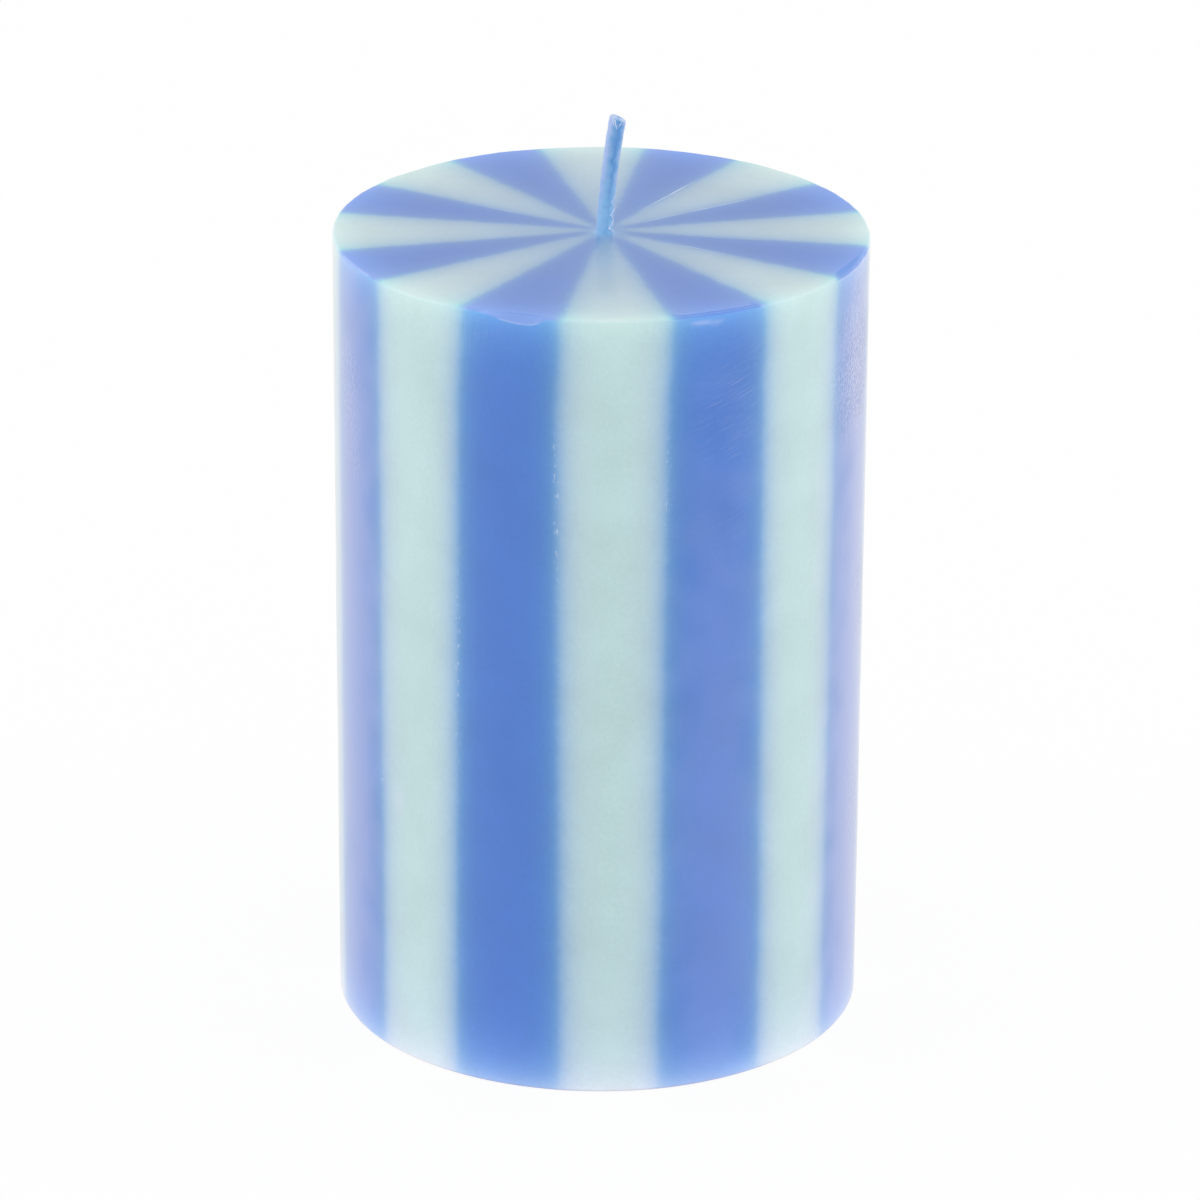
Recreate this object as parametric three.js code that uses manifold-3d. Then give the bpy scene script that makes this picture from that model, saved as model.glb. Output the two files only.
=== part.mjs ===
// Striped pillar candle. Sixteen solid wax wedges, blue and mint in turn, stand round a poured wax
// core. A plaited cotton wick runs up through the core, and a stamped steel tab grips its foot.
// Millimetres, +Z up, origin at the centre of the base. The front of the candle faces -Y, and
// plan angles are counted from the front towards +X.
import * as THREE from "three";
import { mergeVertices } from "three/addons/utils/BufferGeometryUtils.js";
import Module from "manifold-3d";

const wasm = await Module();
wasm.setup();

// Wax body
const bodyDiameter = 65;
const bodyHeight = 100;
const rimRound = 1;
const baseRound = 0.5;

// Stripes: each wedge is one stripe on the side and one ray on the top
const stripePairs = 8;
const frontSeamDegrees = -8.7;

// Poured core that fills the wick hole
const wickHoleDiameter = 7;
const meniscusHeight = 0.5;
const meniscusReach = 0.8;

// Wick: straight up the axis, then leaning to the right and forward as it leaves the wax
const wickDiameter = 2;
const wickExposedLength = 15;
const wickBendDepth = 15;
const wickTipRight = 1.95;
const wickTipForward = 1.8;
const wickCutDegrees = 18;
const wickClearance = 0.15;

// Plait of the wick: strands wind both ways, and each crossing stands a little proud
const plaitStrandsEachWay = 4;
const plaitPitch = 1.9;
const plaitRelief = 0.08;

// Steel tab under the wick: a thin disc with a collar drawn up out of it and pinched on the wick.
// The play is the room round the wick before the collar is pinched.
const tabDiameter = 18;
const tabThickness = 0.3;
const tabInset = 0.4;
const tabClearance = 0.3;
const collarHeight = 5;
const collarPlay = 0.6;
const collarFootRound = 0.6;
const crimpHeight = 1.8;
const crimpPinches = 2;

// Smoothness of the facets
const facetsPerWedge = 8;
const roundSteps = 2;
const wickSides = 24;
const ringsPerPlait = 6;
const bendRings = 10;
const tabSides = 64;

const bodyRadius = bodyDiameter / 2;
const wickHoleRadius = wickHoleDiameter / 2;
const wickRadius = wickDiameter / 2;
const wickTipHeight = bodyHeight + wickExposedLength;
const wickBendHeight = bodyHeight - wickBendDepth;
const tabRadius = tabDiameter / 2;
const tabTop = tabInset + tabThickness;
const collarInnerRadius = wickRadius + collarPlay;
const collarOuterRadius = collarInnerRadius + tabThickness;
const collarTop = tabTop + collarHeight;

const blueWax = new THREE.MeshStandardMaterial({ color: 0x4f78cc, roughness: 0.5, metalness: 0 });
const mintWax = new THREE.MeshStandardMaterial({ color: 0xb8dada, roughness: 0.5, metalness: 0 });
const coreWax = new THREE.MeshStandardMaterial({ color: 0xaabed8, roughness: 0.55, metalness: 0 });
const waxedCotton = new THREE.MeshStandardMaterial({ color: 0x82b0de, roughness: 0.6, metalness: 0 });
const tinnedSteel = new THREE.MeshStandardMaterial({ color: 0xc4c6c8, roughness: 0.3, metalness: 1 });

// Plan direction of one corner of the faceted body. Neighbouring wedges and the core all take
// their corners from here, so that their faces meet exactly.
function cornerDirection(corner) {
  const corners = 2 * stripePairs * facetsPerWedge;
  const turn = (corner % corners) / corners;
  const angle = THREE.MathUtils.degToRad(frontSeamDegrees) + turn * 2 * Math.PI;
  return new THREE.Vector2(Math.sin(angle), -Math.cos(angle));
}

// The directions from one corner to another, both included.
function cornerDirections(first, last) {
  const directions = [];
  for (let corner = first; corner <= last; corner++) {
    directions.push(cornerDirection(corner));
  }
  return directions;
}

// A closed skin through a row of rings that all have the same number of points, with a cap on
// each end. Rings run counter-clockwise as seen from outside the first cap, and capFaces lists
// that cap's triangles.
function loftGeometry(rings, capFaces) {
  const ringSize = rings[0].length;
  const index = [];
  for (let ring = 0; ring < rings.length - 1; ring++) {
    for (let point = 0; point < ringSize; point++) {
      const here = ring * ringSize + point;
      const beside = ring * ringSize + ((point + 1) % ringSize);
      index.push(here, here + ringSize, beside + ringSize);
      index.push(here, beside + ringSize, beside);
    }
  }
  const lastRing = (rings.length - 1) * ringSize;
  for (const [a, b, c] of capFaces) {
    index.push(a, b, c);
    index.push(lastRing + a, lastRing + c, lastRing + b);
  }
  const geometry = new THREE.BufferGeometry().setFromPoints(rings.flat());
  geometry.setIndex(index);
  geometry.computeVertexNormals();
  return geometry;
}

function toSolid(geometry) {
  const bare = geometry.clone();
  bare.deleteAttribute("normal");
  bare.deleteAttribute("uv");
  const merged = mergeVertices(bare);
  const mesh = new wasm.Mesh({
    numProp: 3,
    vertProperties: new Float32Array(merged.attributes.position.array),
    triVerts: new Uint32Array(merged.index.array),
  });
  return new wasm.Manifold(mesh);
}

function toGeometry(solid) {
  const mesh = solid.getMesh();
  const geometry = new THREE.BufferGeometry();
  geometry.setAttribute("position", new THREE.BufferAttribute(mesh.vertProperties, 3));
  geometry.setIndex(new THREE.BufferAttribute(mesh.triVerts, 1));
  geometry.computeVertexNormals();
  return geometry;
}

// Upright section of a wedge, radius across and height up: a rounded top rim, a softer base
// edge, and a shallow step round the wick hole that takes the tab.
function wedgeOutline() {
  const recessRadius = tabRadius + tabClearance;
  const path = new THREE.Path();
  path.moveTo(wickHoleRadius, tabTop);
  path.lineTo(recessRadius, tabTop);
  path.lineTo(recessRadius, 0);
  path.absarc(bodyRadius - baseRound, baseRound, baseRound, -Math.PI / 2, 0, false);
  path.absarc(bodyRadius - rimRound, bodyHeight - rimRound, rimRound, 0, Math.PI / 2, false);
  path.lineTo(wickHoleRadius, bodyHeight);
  return path.getPoints(roundSteps);
}

function wedgeGeometry(wedge) {
  const outline = wedgeOutline();
  const first = wedge * facetsPerWedge;
  const rings = cornerDirections(first, first + facetsPerWedge).map((direction) =>
    outline.map(
      (point) => new THREE.Vector3(point.x * direction.x, point.x * direction.y, point.y),
    ),
  );
  return loftGeometry(rings, THREE.ShapeUtils.triangulateShape(outline, []));
}

// Centre of the wick at a height. It keeps to the axis up to the bend, and leans more and more
// to the right above it.
function wickCentre(height) {
  const rise = Math.max(0, height - wickBendHeight) / (wickTipHeight - wickBendHeight);
  const right = wickTipRight * rise * rise;
  const forward = wickTipForward * Math.sin((rise * Math.PI) / 2);
  return new THREE.Vector2(right, -forward);
}

// Heights of the wick's rings, close together only where the plait shows above the wax.
function wickHeights(foot) {
  const heights = [foot];
  for (let ring = 0; ring < bendRings; ring++) {
    heights.push(wickBendHeight + (wickBendDepth * ring) / bendRings);
  }
  const plaitRings = Math.ceil((wickExposedLength / plaitPitch) * ringsPerPlait);
  for (let ring = 0; ring <= plaitRings; ring++) {
    heights.push(bodyHeight + (wickExposedLength * ring) / plaitRings);
  }
  return heights;
}

// Height of the plait's surface, 0 between the strands and 1 on top of one.
function plaitSwell(angle, height) {
  const across = plaitStrandsEachWay * angle;
  const along = (2 * Math.PI * height) / plaitPitch;
  const strand = Math.max(Math.cos(across - along), Math.cos(across + along));
  return (1 + strand) / 2;
}

// The wick's outside from a foot height to its slanted tip. grow widens it all round, and a
// relief of 0 leaves the strands out.
function wickGeometry(foot, grow, relief) {
  const slope = Math.tan(THREE.MathUtils.degToRad(wickCutDegrees));
  const rings = wickHeights(foot).map((height) => {
    const centre = wickCentre(height);
    const slant = slope * THREE.MathUtils.smoothstep(height, bodyHeight, wickTipHeight);
    const ring = [];
    for (let side = 0; side < wickSides; side++) {
      const angle = -(side / wickSides) * 2 * Math.PI;
      const swell = height > bodyHeight ? plaitSwell(angle, height) : 1;
      const radius = wickRadius + grow - relief * (1 - swell);
      const x = radius * Math.cos(angle);
      const y = radius * Math.sin(angle);
      ring.push(new THREE.Vector3(centre.x + x, centre.y + y, height - slant * x));
    }
    return ring;
  });
  const capFaces = [];
  for (let side = 1; side < wickSides - 1; side++) {
    capFaces.push([0, side, side + 1]);
  }
  return loftGeometry(rings, capFaces);
}

// Wax that climbs the wick where it comes out: a low cone with a hollow flank.
function meniscusGeometry() {
  const hole = wickRadius + wickClearance;
  const path = new THREE.Path();
  path.moveTo(0, -meniscusHeight);
  path.lineTo(hole + meniscusReach, -meniscusHeight);
  path.lineTo(hole + meniscusReach, 0);
  path.quadraticCurveTo(hole, 0, hole, meniscusHeight);
  path.lineTo(0, meniscusHeight);
  const centre = wickCentre(bodyHeight);
  return new THREE.LatheGeometry(path.getPoints(roundSteps * 2), wickSides * 2)
    .rotateX(Math.PI / 2)
    .translate(centre.x, centre.y, bodyHeight);
}

// The pocket that the tab's collar stands in.
function collarPocketGeometry() {
  const radius = collarOuterRadius + collarFootRound;
  const height = collarHeight + tabClearance;
  return new THREE.CylinderGeometry(radius, radius, 2 * height, tabSides)
    .rotateX(Math.PI / 2)
    .translate(0, 0, tabTop);
}

function coreGeometry() {
  const corners = cornerDirections(0, 2 * stripePairs * facetsPerWedge - 1);
  const section = new THREE.Shape(corners.map((corner) => corner.multiplyScalar(wickHoleRadius)));
  const column = new THREE.ExtrudeGeometry(section, {
    depth: bodyHeight - tabTop,
    bevelEnabled: false,
  }).translate(0, 0, tabTop);
  const solid = toSolid(column)
    .add(toSolid(meniscusGeometry()))
    .subtract(toSolid(collarPocketGeometry()))
    .subtract(toSolid(wickGeometry(0, wickClearance, 0)));
  return toGeometry(solid);
}

// Section of the tab: a flat disc that turns up into a thin collar.
function tabOutline() {
  const path = new THREE.Path();
  path.moveTo(tabRadius, tabInset);
  path.lineTo(tabRadius, tabTop);
  path.absarc(
    collarOuterRadius + collarFootRound,
    tabTop + collarFootRound,
    collarFootRound,
    -Math.PI / 2,
    -Math.PI,
    true,
  );
  path.lineTo(collarOuterRadius, collarTop - crimpHeight);
  path.lineTo(collarOuterRadius, collarTop - crimpHeight / 2);
  path.lineTo(collarOuterRadius, collarTop);
  path.lineTo(collarInnerRadius, collarTop);
  path.lineTo(collarInnerRadius, collarTop - crimpHeight / 2);
  path.lineTo(collarInnerRadius, collarTop - crimpHeight);
  path.absarc(
    collarOuterRadius + collarFootRound,
    tabTop + collarFootRound,
    collarFootRound + tabThickness,
    Math.PI,
    Math.PI * 1.5,
    false,
  );
  path.closePath();
  return path.getPoints(roundSteps);
}

// Share of the way in that the pinched collar is pressed at an angle and a height.
function crimpPress(angle, height) {
  const nearCrimp = 1 - Math.abs(height - (collarTop - crimpHeight / 2)) / (crimpHeight / 2);
  const side = (1 + Math.cos(crimpPinches * angle)) / 2;
  return Math.max(0, nearCrimp) * side;
}

function tabGeometry() {
  const geometry = new THREE.LatheGeometry(tabOutline(), tabSides).rotateX(Math.PI / 2);
  const position = geometry.getAttribute("position");
  const room = collarInnerRadius - (wickRadius + wickClearance);
  for (let i = 0; i < position.count; i++) {
    const x = position.getX(i);
    const y = position.getY(i);
    const radius = Math.hypot(x, y);
    const press = room * crimpPress(Math.atan2(y, x), position.getZ(i));
    position.setXY(i, (x * (radius - press)) / radius, (y * (radius - press)) / radius);
  }
  geometry.computeVertexNormals();
  return geometry;
}

function namedMesh(name, geometry, material) {
  const mesh = new THREE.Mesh(geometry, material);
  mesh.name = name;
  return mesh;
}

const waxBody = new THREE.Group();
for (let pair = 0; pair < stripePairs; pair++) {
  waxBody.add(namedMesh(`mint_wedge_${pair + 1}`, wedgeGeometry(2 * pair), mintWax));
  waxBody.add(namedMesh(`blue_wedge_${pair + 1}`, wedgeGeometry(2 * pair + 1), blueWax));
}
waxBody.add(namedMesh("wick_core", coreGeometry(), coreWax));

const wickSet = new THREE.Group();
wickSet.add(namedMesh("wick", wickGeometry(tabInset, 0, plaitRelief), waxedCotton));
wickSet.add(namedMesh("wick_tab", tabGeometry(), tinnedSteel));

const candle = new THREE.Group();
candle.add(waxBody, wickSet);

export default candle;
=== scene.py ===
# %% [markdown]
# # A striped pillar candle
#
# The real candle is sixteen wedges of dyed paraffin wax, blue and mint in turn, set round a wick
# like the slices of a cake and fused where they touch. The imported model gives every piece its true
# size and place. This script keeps those places, and gives each piece the surface that the eye
# expects.

# %% Load the model that everything is built on
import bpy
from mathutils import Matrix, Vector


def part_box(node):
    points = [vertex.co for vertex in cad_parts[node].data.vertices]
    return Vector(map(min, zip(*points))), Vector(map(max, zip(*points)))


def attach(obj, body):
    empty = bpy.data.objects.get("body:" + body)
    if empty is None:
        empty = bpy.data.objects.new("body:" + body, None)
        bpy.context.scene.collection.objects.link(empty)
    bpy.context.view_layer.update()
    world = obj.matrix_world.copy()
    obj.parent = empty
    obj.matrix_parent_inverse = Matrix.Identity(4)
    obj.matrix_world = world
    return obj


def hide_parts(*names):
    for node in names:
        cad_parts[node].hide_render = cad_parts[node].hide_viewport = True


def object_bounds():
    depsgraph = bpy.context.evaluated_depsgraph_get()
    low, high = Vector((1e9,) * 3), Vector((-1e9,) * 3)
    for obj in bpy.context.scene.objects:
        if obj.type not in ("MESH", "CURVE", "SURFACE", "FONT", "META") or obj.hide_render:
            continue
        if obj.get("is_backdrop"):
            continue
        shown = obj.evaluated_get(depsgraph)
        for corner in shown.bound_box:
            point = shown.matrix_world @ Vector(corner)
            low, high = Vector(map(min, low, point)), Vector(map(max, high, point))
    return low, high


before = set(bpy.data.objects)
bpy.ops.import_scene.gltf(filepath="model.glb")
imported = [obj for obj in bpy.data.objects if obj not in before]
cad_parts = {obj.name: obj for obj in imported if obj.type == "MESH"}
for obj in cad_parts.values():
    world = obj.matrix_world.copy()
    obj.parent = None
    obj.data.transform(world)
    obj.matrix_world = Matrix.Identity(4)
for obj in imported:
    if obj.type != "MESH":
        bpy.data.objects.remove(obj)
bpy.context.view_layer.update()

print("nodes:", sorted(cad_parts))

# %% Libraries and units
import math

import bpy
from mathutils import Quaternion, Vector, noise

MM = 0.001
print("lengths below are in millimetres, and become metres when a mesh is made")

# %% [markdown]
# ## Sizes
#
# Nothing is measured by eye twice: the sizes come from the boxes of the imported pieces. The few that
# no box shows, such as the step under the tab, are named here.

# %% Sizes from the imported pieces
def reach(node):
    """How far a node reaches sideways from the candle's axis, along X or Y, in mm."""
    return max(abs(value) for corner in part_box(node) for value in corner.xy) / MM


wedge_nodes = sorted(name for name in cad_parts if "_wedge_" in name)
STRIPES = len(wedge_nodes)
BODY_RADIUS = max(reach(name) for name in wedge_nodes)
BODY_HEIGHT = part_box("mint_wedge_1")[1].z / MM
CORE_RADIUS = reach("wick_core")
TAB_RADIUS = reach("wick_tab")
TAB_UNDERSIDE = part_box("wick_tab")[0].z / MM
COLLAR_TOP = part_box("wick_tab")[1].z / MM
WICK_RADIUS = -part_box("wick")[0].x / MM
WICK_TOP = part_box("wick")[1].z / MM
print(f"body {2 * BODY_RADIUS:.1f} x {BODY_HEIGHT:.1f}, {STRIPES} stripes")
print(f"wick {2 * WICK_RADIUS:.1f} thick, {WICK_TOP - BODY_HEIGHT:.1f} above the wax")

# %% [markdown]
# ## Where the seams run
#
# Every stripe is one wedge, so the seams are lines that run down the side and across the top. The
# wedges are cut and set by hand on the real candle, so a seam sits up to a degree off its even
# place, wanders along its height, and the mint stripes come out slightly wider at the top than at
# the base. One function says where each seam is, and the meshes and the dye both use it.

# %% Seams
STRIPE_ANGLE = math.tau / STRIPES
FIRST_SEAM = math.asin(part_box("mint_wedge_1")[0].x / MM / BODY_RADIUS)
SEAM_OFF = {-3: 0.4, -2: 0.0, -1: -0.5, 0: 0.4, 1: -0.4, 2: 0.7, 3: -0.1}
SEAM_OFF_ELSEWHERE = 0.5
MINT_FLARE = math.radians(1.3)
MINT_EVEN_AT = 0.1
SEAM_WANDER = math.radians(0.25)
SEAM_WANDER_LENGTH = 16
TOP_SHIFT = 0.4
TOP_SHIFT_FROM = 88
TOP_SHIFT_FULL = 97


def smooth(low, high, value):
    """0 at low, 1 at high, and a smooth way between. With low above high it falls."""
    share = min(1, max(0, (value - low) / (high - low)))
    return share * share * (3 - 2 * share)


def seam_angle(seam, height):
    """Plan angle of a seam at a height, counted from the front (-Y) towards +X."""
    even = FIRST_SEAM + seam * STRIPE_ANGLE
    number = seam % STRIPES
    if number > STRIPES / 2:
        number -= STRIPES
    off = SEAM_OFF.get(number, SEAM_OFF_ELSEWHERE * math.sin(5 * number))
    flare = MINT_FLARE * (MINT_EVEN_AT - height / BODY_HEIGHT) * (1 if number % 2 == 0 else -1)
    along = Vector((number * 3.7, 0, height / SEAM_WANDER_LENGTH))
    return even + math.radians(off) + flare + SEAM_WANDER * noise.noise(along)


def top_shift(height):
    """How far right of the axis the seams meet. They shifted at the top, where the wax set last."""
    return TOP_SHIFT * smooth(TOP_SHIFT_FROM, TOP_SHIFT_FULL, height)


def blue_side(x, y, z):
    """Distance in mm from the nearest seam, above 0 in blue wax and below 0 in mint."""
    x -= top_shift(z)
    angle = math.atan2(x, -y)
    stripe = math.floor((angle - FIRST_SEAM) / STRIPE_ANGLE)
    if angle < seam_angle(stripe, z):
        stripe -= 1
    elif angle > seam_angle(stripe + 1, z):
        stripe += 1
    nearest = min(angle - seam_angle(stripe, z), seam_angle(stripe + 1, z) - angle)
    return math.hypot(x, y) * nearest * (1 if stripe % 2 else -1)


front_seams = [round(math.degrees(seam_angle(seam, BODY_HEIGHT / 2)), 1) for seam in (0, 1)]
print("front mint stripe between plan angles", front_seams)

# %% [markdown]
# ## One way to make every mesh
#
# Each piece is a loft: a row of rings of points, joined ring to ring. A wedge is lofted round the
# candle from one seam to the next, and the wick is lofted upwards. A loft that ends is capped, and
# one that comes back to its start is left as a closed band.

# %% Loft
SMOOTH_BELOW = math.radians(35)


def add_object(name, data):
    """A new object in the scene."""
    made = bpy.data.objects.new(name, data)
    bpy.context.scene.collection.objects.link(made)
    return made


def loft(name, rings, closed=False):
    """A mesh object through rings of points in mm."""
    size = len(rings[0])
    faces = []
    for ring in range(len(rings) if closed else len(rings) - 1):
        here = ring * size
        there = (ring + 1) % len(rings) * size
        for point in range(size):
            beside = (point + 1) % size
            faces.append((here + point, there + point, there + beside, here + beside))
    if not closed:
        faces.append(tuple(range(size)))
        faces.append(tuple(reversed(range((len(rings) - 1) * size, len(rings) * size))))
    mesh = bpy.data.meshes.new(name)
    mesh.from_pydata([Vector(point) * MM for ring in rings for point in ring], [], faces)
    mesh.shade_smooth()
    mesh.set_sharp_from_angle(angle=SMOOTH_BELOW)
    return add_object(name, mesh)


def steps(start, end, count):
    """count + 1 values from start to end."""
    return [start + (end - start) * i / count for i in range(count + 1)]


def arc(centre, radius, start, end, count):
    """Points of a round corner in a section."""
    return [
        (centre[0] + radius * math.cos(a), centre[1] + radius * math.sin(a))
        for a in steps(math.radians(start), math.radians(end), count)
    ]


print("edges stay sharp above", round(math.degrees(SMOOTH_BELOW)), "degrees")

# %% [markdown]
# ## The wax wedges
#
# A wedge could be cut from a cylinder, but then all sixteen would share one perfect rim. Here the
# section of the wedge is drawn anew at every step round the candle. The rim is rounded a little
# more in one place than in the next, and in two places it is worn to a flat bevel: the one on the
# front left has painted light across it, and the one on the right painted shade. Pale lines along
# the rim and the bevels are partly wear and partly a painted highlight. On the front right the
# edge was trimmed a touch low, which leaves a small step just inside it, painted with shade on the
# step and in its groove.

# %% Rim
RIM_IN = 0.4
RIM_DOWN = 0.35
RIM_VARIES = 0.4
RIM_VARIES_LENGTH = 5
RIM_RIPPLE_LENGTH = 1.5
# In each bevel, the entry after down is painted light across the left bevel, and painted shade (below
# 0) across the right one
LEFT_BEVEL = {
    "gentle_end": -28, "sharp_end": -10.5, "into": 0.9, "down": 1.0, "wear_or_painted_light": 0.22, "line": 0.6,
}
RIGHT_BEVEL = {
    "gentle_end": 88, "sharp_end": 56.5, "into": 1.0, "down": 0.6, "wear_or_painted_light": -0.75, "line": 1.3,
}
BEVEL_FULL_BEFORE = 6
BEVEL_STOPS_IN = 5
BEVEL_FLATTENS = 1.5
STEP_FROM = math.radians(13)
STEP_TO = math.radians(36)
STEP_ENDS = math.radians(2)
STEP_DOWN = 0.05


def soft_noise(x, y, z, length):
    """Smooth noise from 0 to 1 whose bumps are about length mm across."""
    return 0.5 + 0.5 * noise.noise(Vector((x, y, z)) / length)


def bevel_share(bevel, angle):
    """How much of a bevel there is at a plan angle. It fades in from one end and stops sharply
    at the other."""
    gentle, sharp, turn = bevel["gentle_end"], bevel["sharp_end"], math.degrees(angle)
    back = math.copysign(1, gentle - sharp)
    faded = smooth(gentle, sharp + BEVEL_FULL_BEFORE * back, turn)
    return faded * smooth(sharp, sharp + BEVEL_STOPS_IN * back, turn)


def rim_shape(angle):
    """(in, down, flat, bevel, step) of the rim at a plan angle: its reach each way, how flat it
    is, the bevel that makes it so, and how deep its step is."""
    turn = (angle + math.pi) % math.tau - math.pi
    x, y = BODY_RADIUS * math.sin(turn), -BODY_RADIUS * math.cos(turn)
    slow = 2 * soft_noise(x, y, 0, RIM_VARIES_LENGTH) - 1
    ripple = soft_noise(x, y, 9, RIM_RIPPLE_LENGTH) - 0.5
    vary = 1 + RIM_VARIES * (slow + ripple)
    step = STEP_DOWN * smooth(STEP_FROM, STEP_FROM + STEP_ENDS, turn)
    step *= smooth(STEP_TO, STEP_TO - STEP_ENDS, turn)
    bevel = LEFT_BEVEL if turn < 0 else RIGHT_BEVEL
    share = bevel_share(bevel, turn)
    into = RIM_IN * vary * (1 - share) + bevel["into"] * share
    down = RIM_DOWN * vary * (1 - share) + bevel["down"] * share
    return into, down, min(1, BEVEL_FLATTENS * share), bevel, step


print("rim reach in at the front left:", round(rim_shape(math.radians(-15))[0], 2), "mm")

# %% Side and top
SIDE_WAVE = 0.07
TOP_WAVE = 0.05
TOP_TILT = 0.25
WAVE_LENGTH = 14


def side_radius(angle, height):
    """Radius of the side at a plan angle and a height. The wax shrank a little unevenly."""
    x, y = BODY_RADIUS * math.sin(angle), -BODY_RADIUS * math.cos(angle)
    return BODY_RADIUS - SIDE_WAVE * soft_noise(x, y, height, WAVE_LENGTH)


def top_height(x, y):
    """Height of the top face, which is trimmed a little lower on the right."""
    wave = TOP_WAVE * soft_noise(x, y, 50, WAVE_LENGTH)
    return BODY_HEIGHT - wave - TOP_TILT * (1 + x / BODY_RADIUS) / 2


top_ends = [round(top_height(x, 0), 2) for x in (-BODY_RADIUS, BODY_RADIUS)]
print("top face, left and right:", top_ends, "mm up")

# %% Section of the rim
RIM_STEPS = 8
RIM_WEAR_AND_HIGHLIGHT = 0.45
WEAR_RING = 40
WEAR_LENGTH = 3
BEVEL_END_WHITE = 0.7
STEP_SHADE = 0.4
GROOVE_SHADE = 0.3
STEP_LEDGE = 0.3
PLAIN_LEDGE = 0.05
STEP_WIDTH = 0.08


def bevel_ends(angle, flat):
    """How near a point is to an end of the left bevel, where its upper edge is scuffed white."""
    turn = (math.degrees(angle) + 180) % 360 - 180
    gentle, sharp = LEFT_BEVEL["gentle_end"], LEFT_BEVEL["sharp_end"]
    by_sharp = smooth(sharp - 3, sharp, turn) * smooth(sharp + 4, sharp, turn)
    return max(by_sharp, smooth(gentle + 9, gentle, turn) * smooth(0, 0.2, flat))


def rim_section(angle):
    """(radius, height, paleness) points of the rim from the side to the top. The third number is
    above
    0 where an edge is scuffed white or a highlight is painted on it, and across the left bevel, where
    light is painted on; it is below 0 where shade is painted: on the step, in its groove and across
    the right bevel."""
    into, down, flat, bevel, step = rim_shape(angle)
    edge_radius = side_radius(angle, BODY_HEIGHT - down) - into
    top = top_height(edge_radius * math.sin(angle), -edge_radius * math.cos(angle)) - step
    round_ring = WEAR_RING * math.sin(angle), WEAR_RING * math.cos(angle)
    wear_and_light = smooth(0.35, 0.65, soft_noise(*round_ring, 3, WEAR_LENGTH))
    line = bevel["line"] * (0.35 + 0.65 * wear_and_light) * smooth(0.5, 0.9, flat)
    at_ends = BEVEL_END_WHITE * wear_and_light * bevel_ends(angle, flat)
    stepped = smooth(0, STEP_DOWN, step)
    points = []
    for share in steps(0, 1, RIM_STEPS):
        corner = share * math.pi / 2
        outward = math.cos(corner) * (1 - flat) + (1 - share) * flat
        upward = math.sin(corner) * (1 - flat) + share * flat
        # A pale line along the rounded rim, partly wear and partly a painted highlight
        wear_or_painted_light = RIM_WEAR_AND_HIGHLIGHT * (0.3 + 0.7 * wear_and_light) * (1 - flat) * math.sin(math.pi * share)
        # Pale lines at a bevel's edges, painted light or shade across the bevel, and painted shade on
        # the step
        edge = {0: line, 1: at_ends}.get(share, bevel["wear_or_painted_light"] * flat)
        edge += wear_or_painted_light * (1 - stepped) - STEP_SHADE * stepped * (share > 0.3)
        points.append((edge_radius + into * outward, top - down + down * upward, edge))
    ledge = STEP_LEDGE if step else PLAIN_LEDGE
    # Painted shade in the groove of the step
    points.append((edge_radius - ledge, top - 0.4 * step, -GROOVE_SHADE * stepped))
    points.append((edge_radius - ledge - STEP_WIDTH, top + step, 0))
    return points


print("wear round the rim at the front left:", [round(p[2], 2) for p in rim_section(-0.25)])

# %% Section of a wedge
BASE_ROUND = 0.5
TAB_THICKNESS = 0.3
RECESS_CLEARANCE = 0.3
RECESS_RADIUS = TAB_RADIUS + RECESS_CLEARANCE
RECESS_HEIGHT = TAB_UNDERSIDE + TAB_THICKNESS
FINE_FROM = 94
RIM_LEAD = 0.15


def wedge_section(angle):
    """(radius, height, paleness) points of the wax at a plan angle, anticlockwise from the tab's
    step. They are closer together near the rim."""
    rim = rim_section(angle)
    foot = side_radius(angle, BASE_ROUND) - BASE_ROUND
    points = [(r, RECESS_HEIGHT, 0) for r in steps(CORE_RADIUS, RECESS_RADIUS, 5)]
    points += [(r, 0, 0) for r in steps(RECESS_RADIUS, foot, 14)[:-1]]
    points += [(r, z, 0) for r, z in arc((foot, BASE_ROUND), BASE_ROUND, -90, 0, 4)]
    coarse = steps(BASE_ROUND, FINE_FROM, 66)[1:]
    fine = steps(FINE_FROM, rim[0][1] - RIM_LEAD, 14)[1:]
    points += [(side_radius(angle, z), z, 0) for z in coarse + fine]
    points += rim
    for radius in steps(rim[-1][0], CORE_RADIUS, 26)[1:]:
        height = top_height(radius * math.sin(angle), -radius * math.cos(angle))
        points.append((radius, height, 0))
    return points


print("points in a section:", len(wedge_section(0)))

# %% One wedge
COLUMNS = 32
CAP_INSET = 0.3


def set_attribute(piece, name, values):
    """Give every point of a mesh a number."""
    attribute = piece.data.attributes.new(name, "FLOAT", "POINT")
    attribute.data.foreach_set("value", values)


def drawn_in(radius, height):
    """A point of a section, moved CAP_INSET towards the middle of it."""
    middle = Vector((BODY_RADIUS / 2, BODY_HEIGHT / 2))
    away = Vector((radius, height)) - middle
    return middle + away * (1 - CAP_INSET / away.length)


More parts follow.
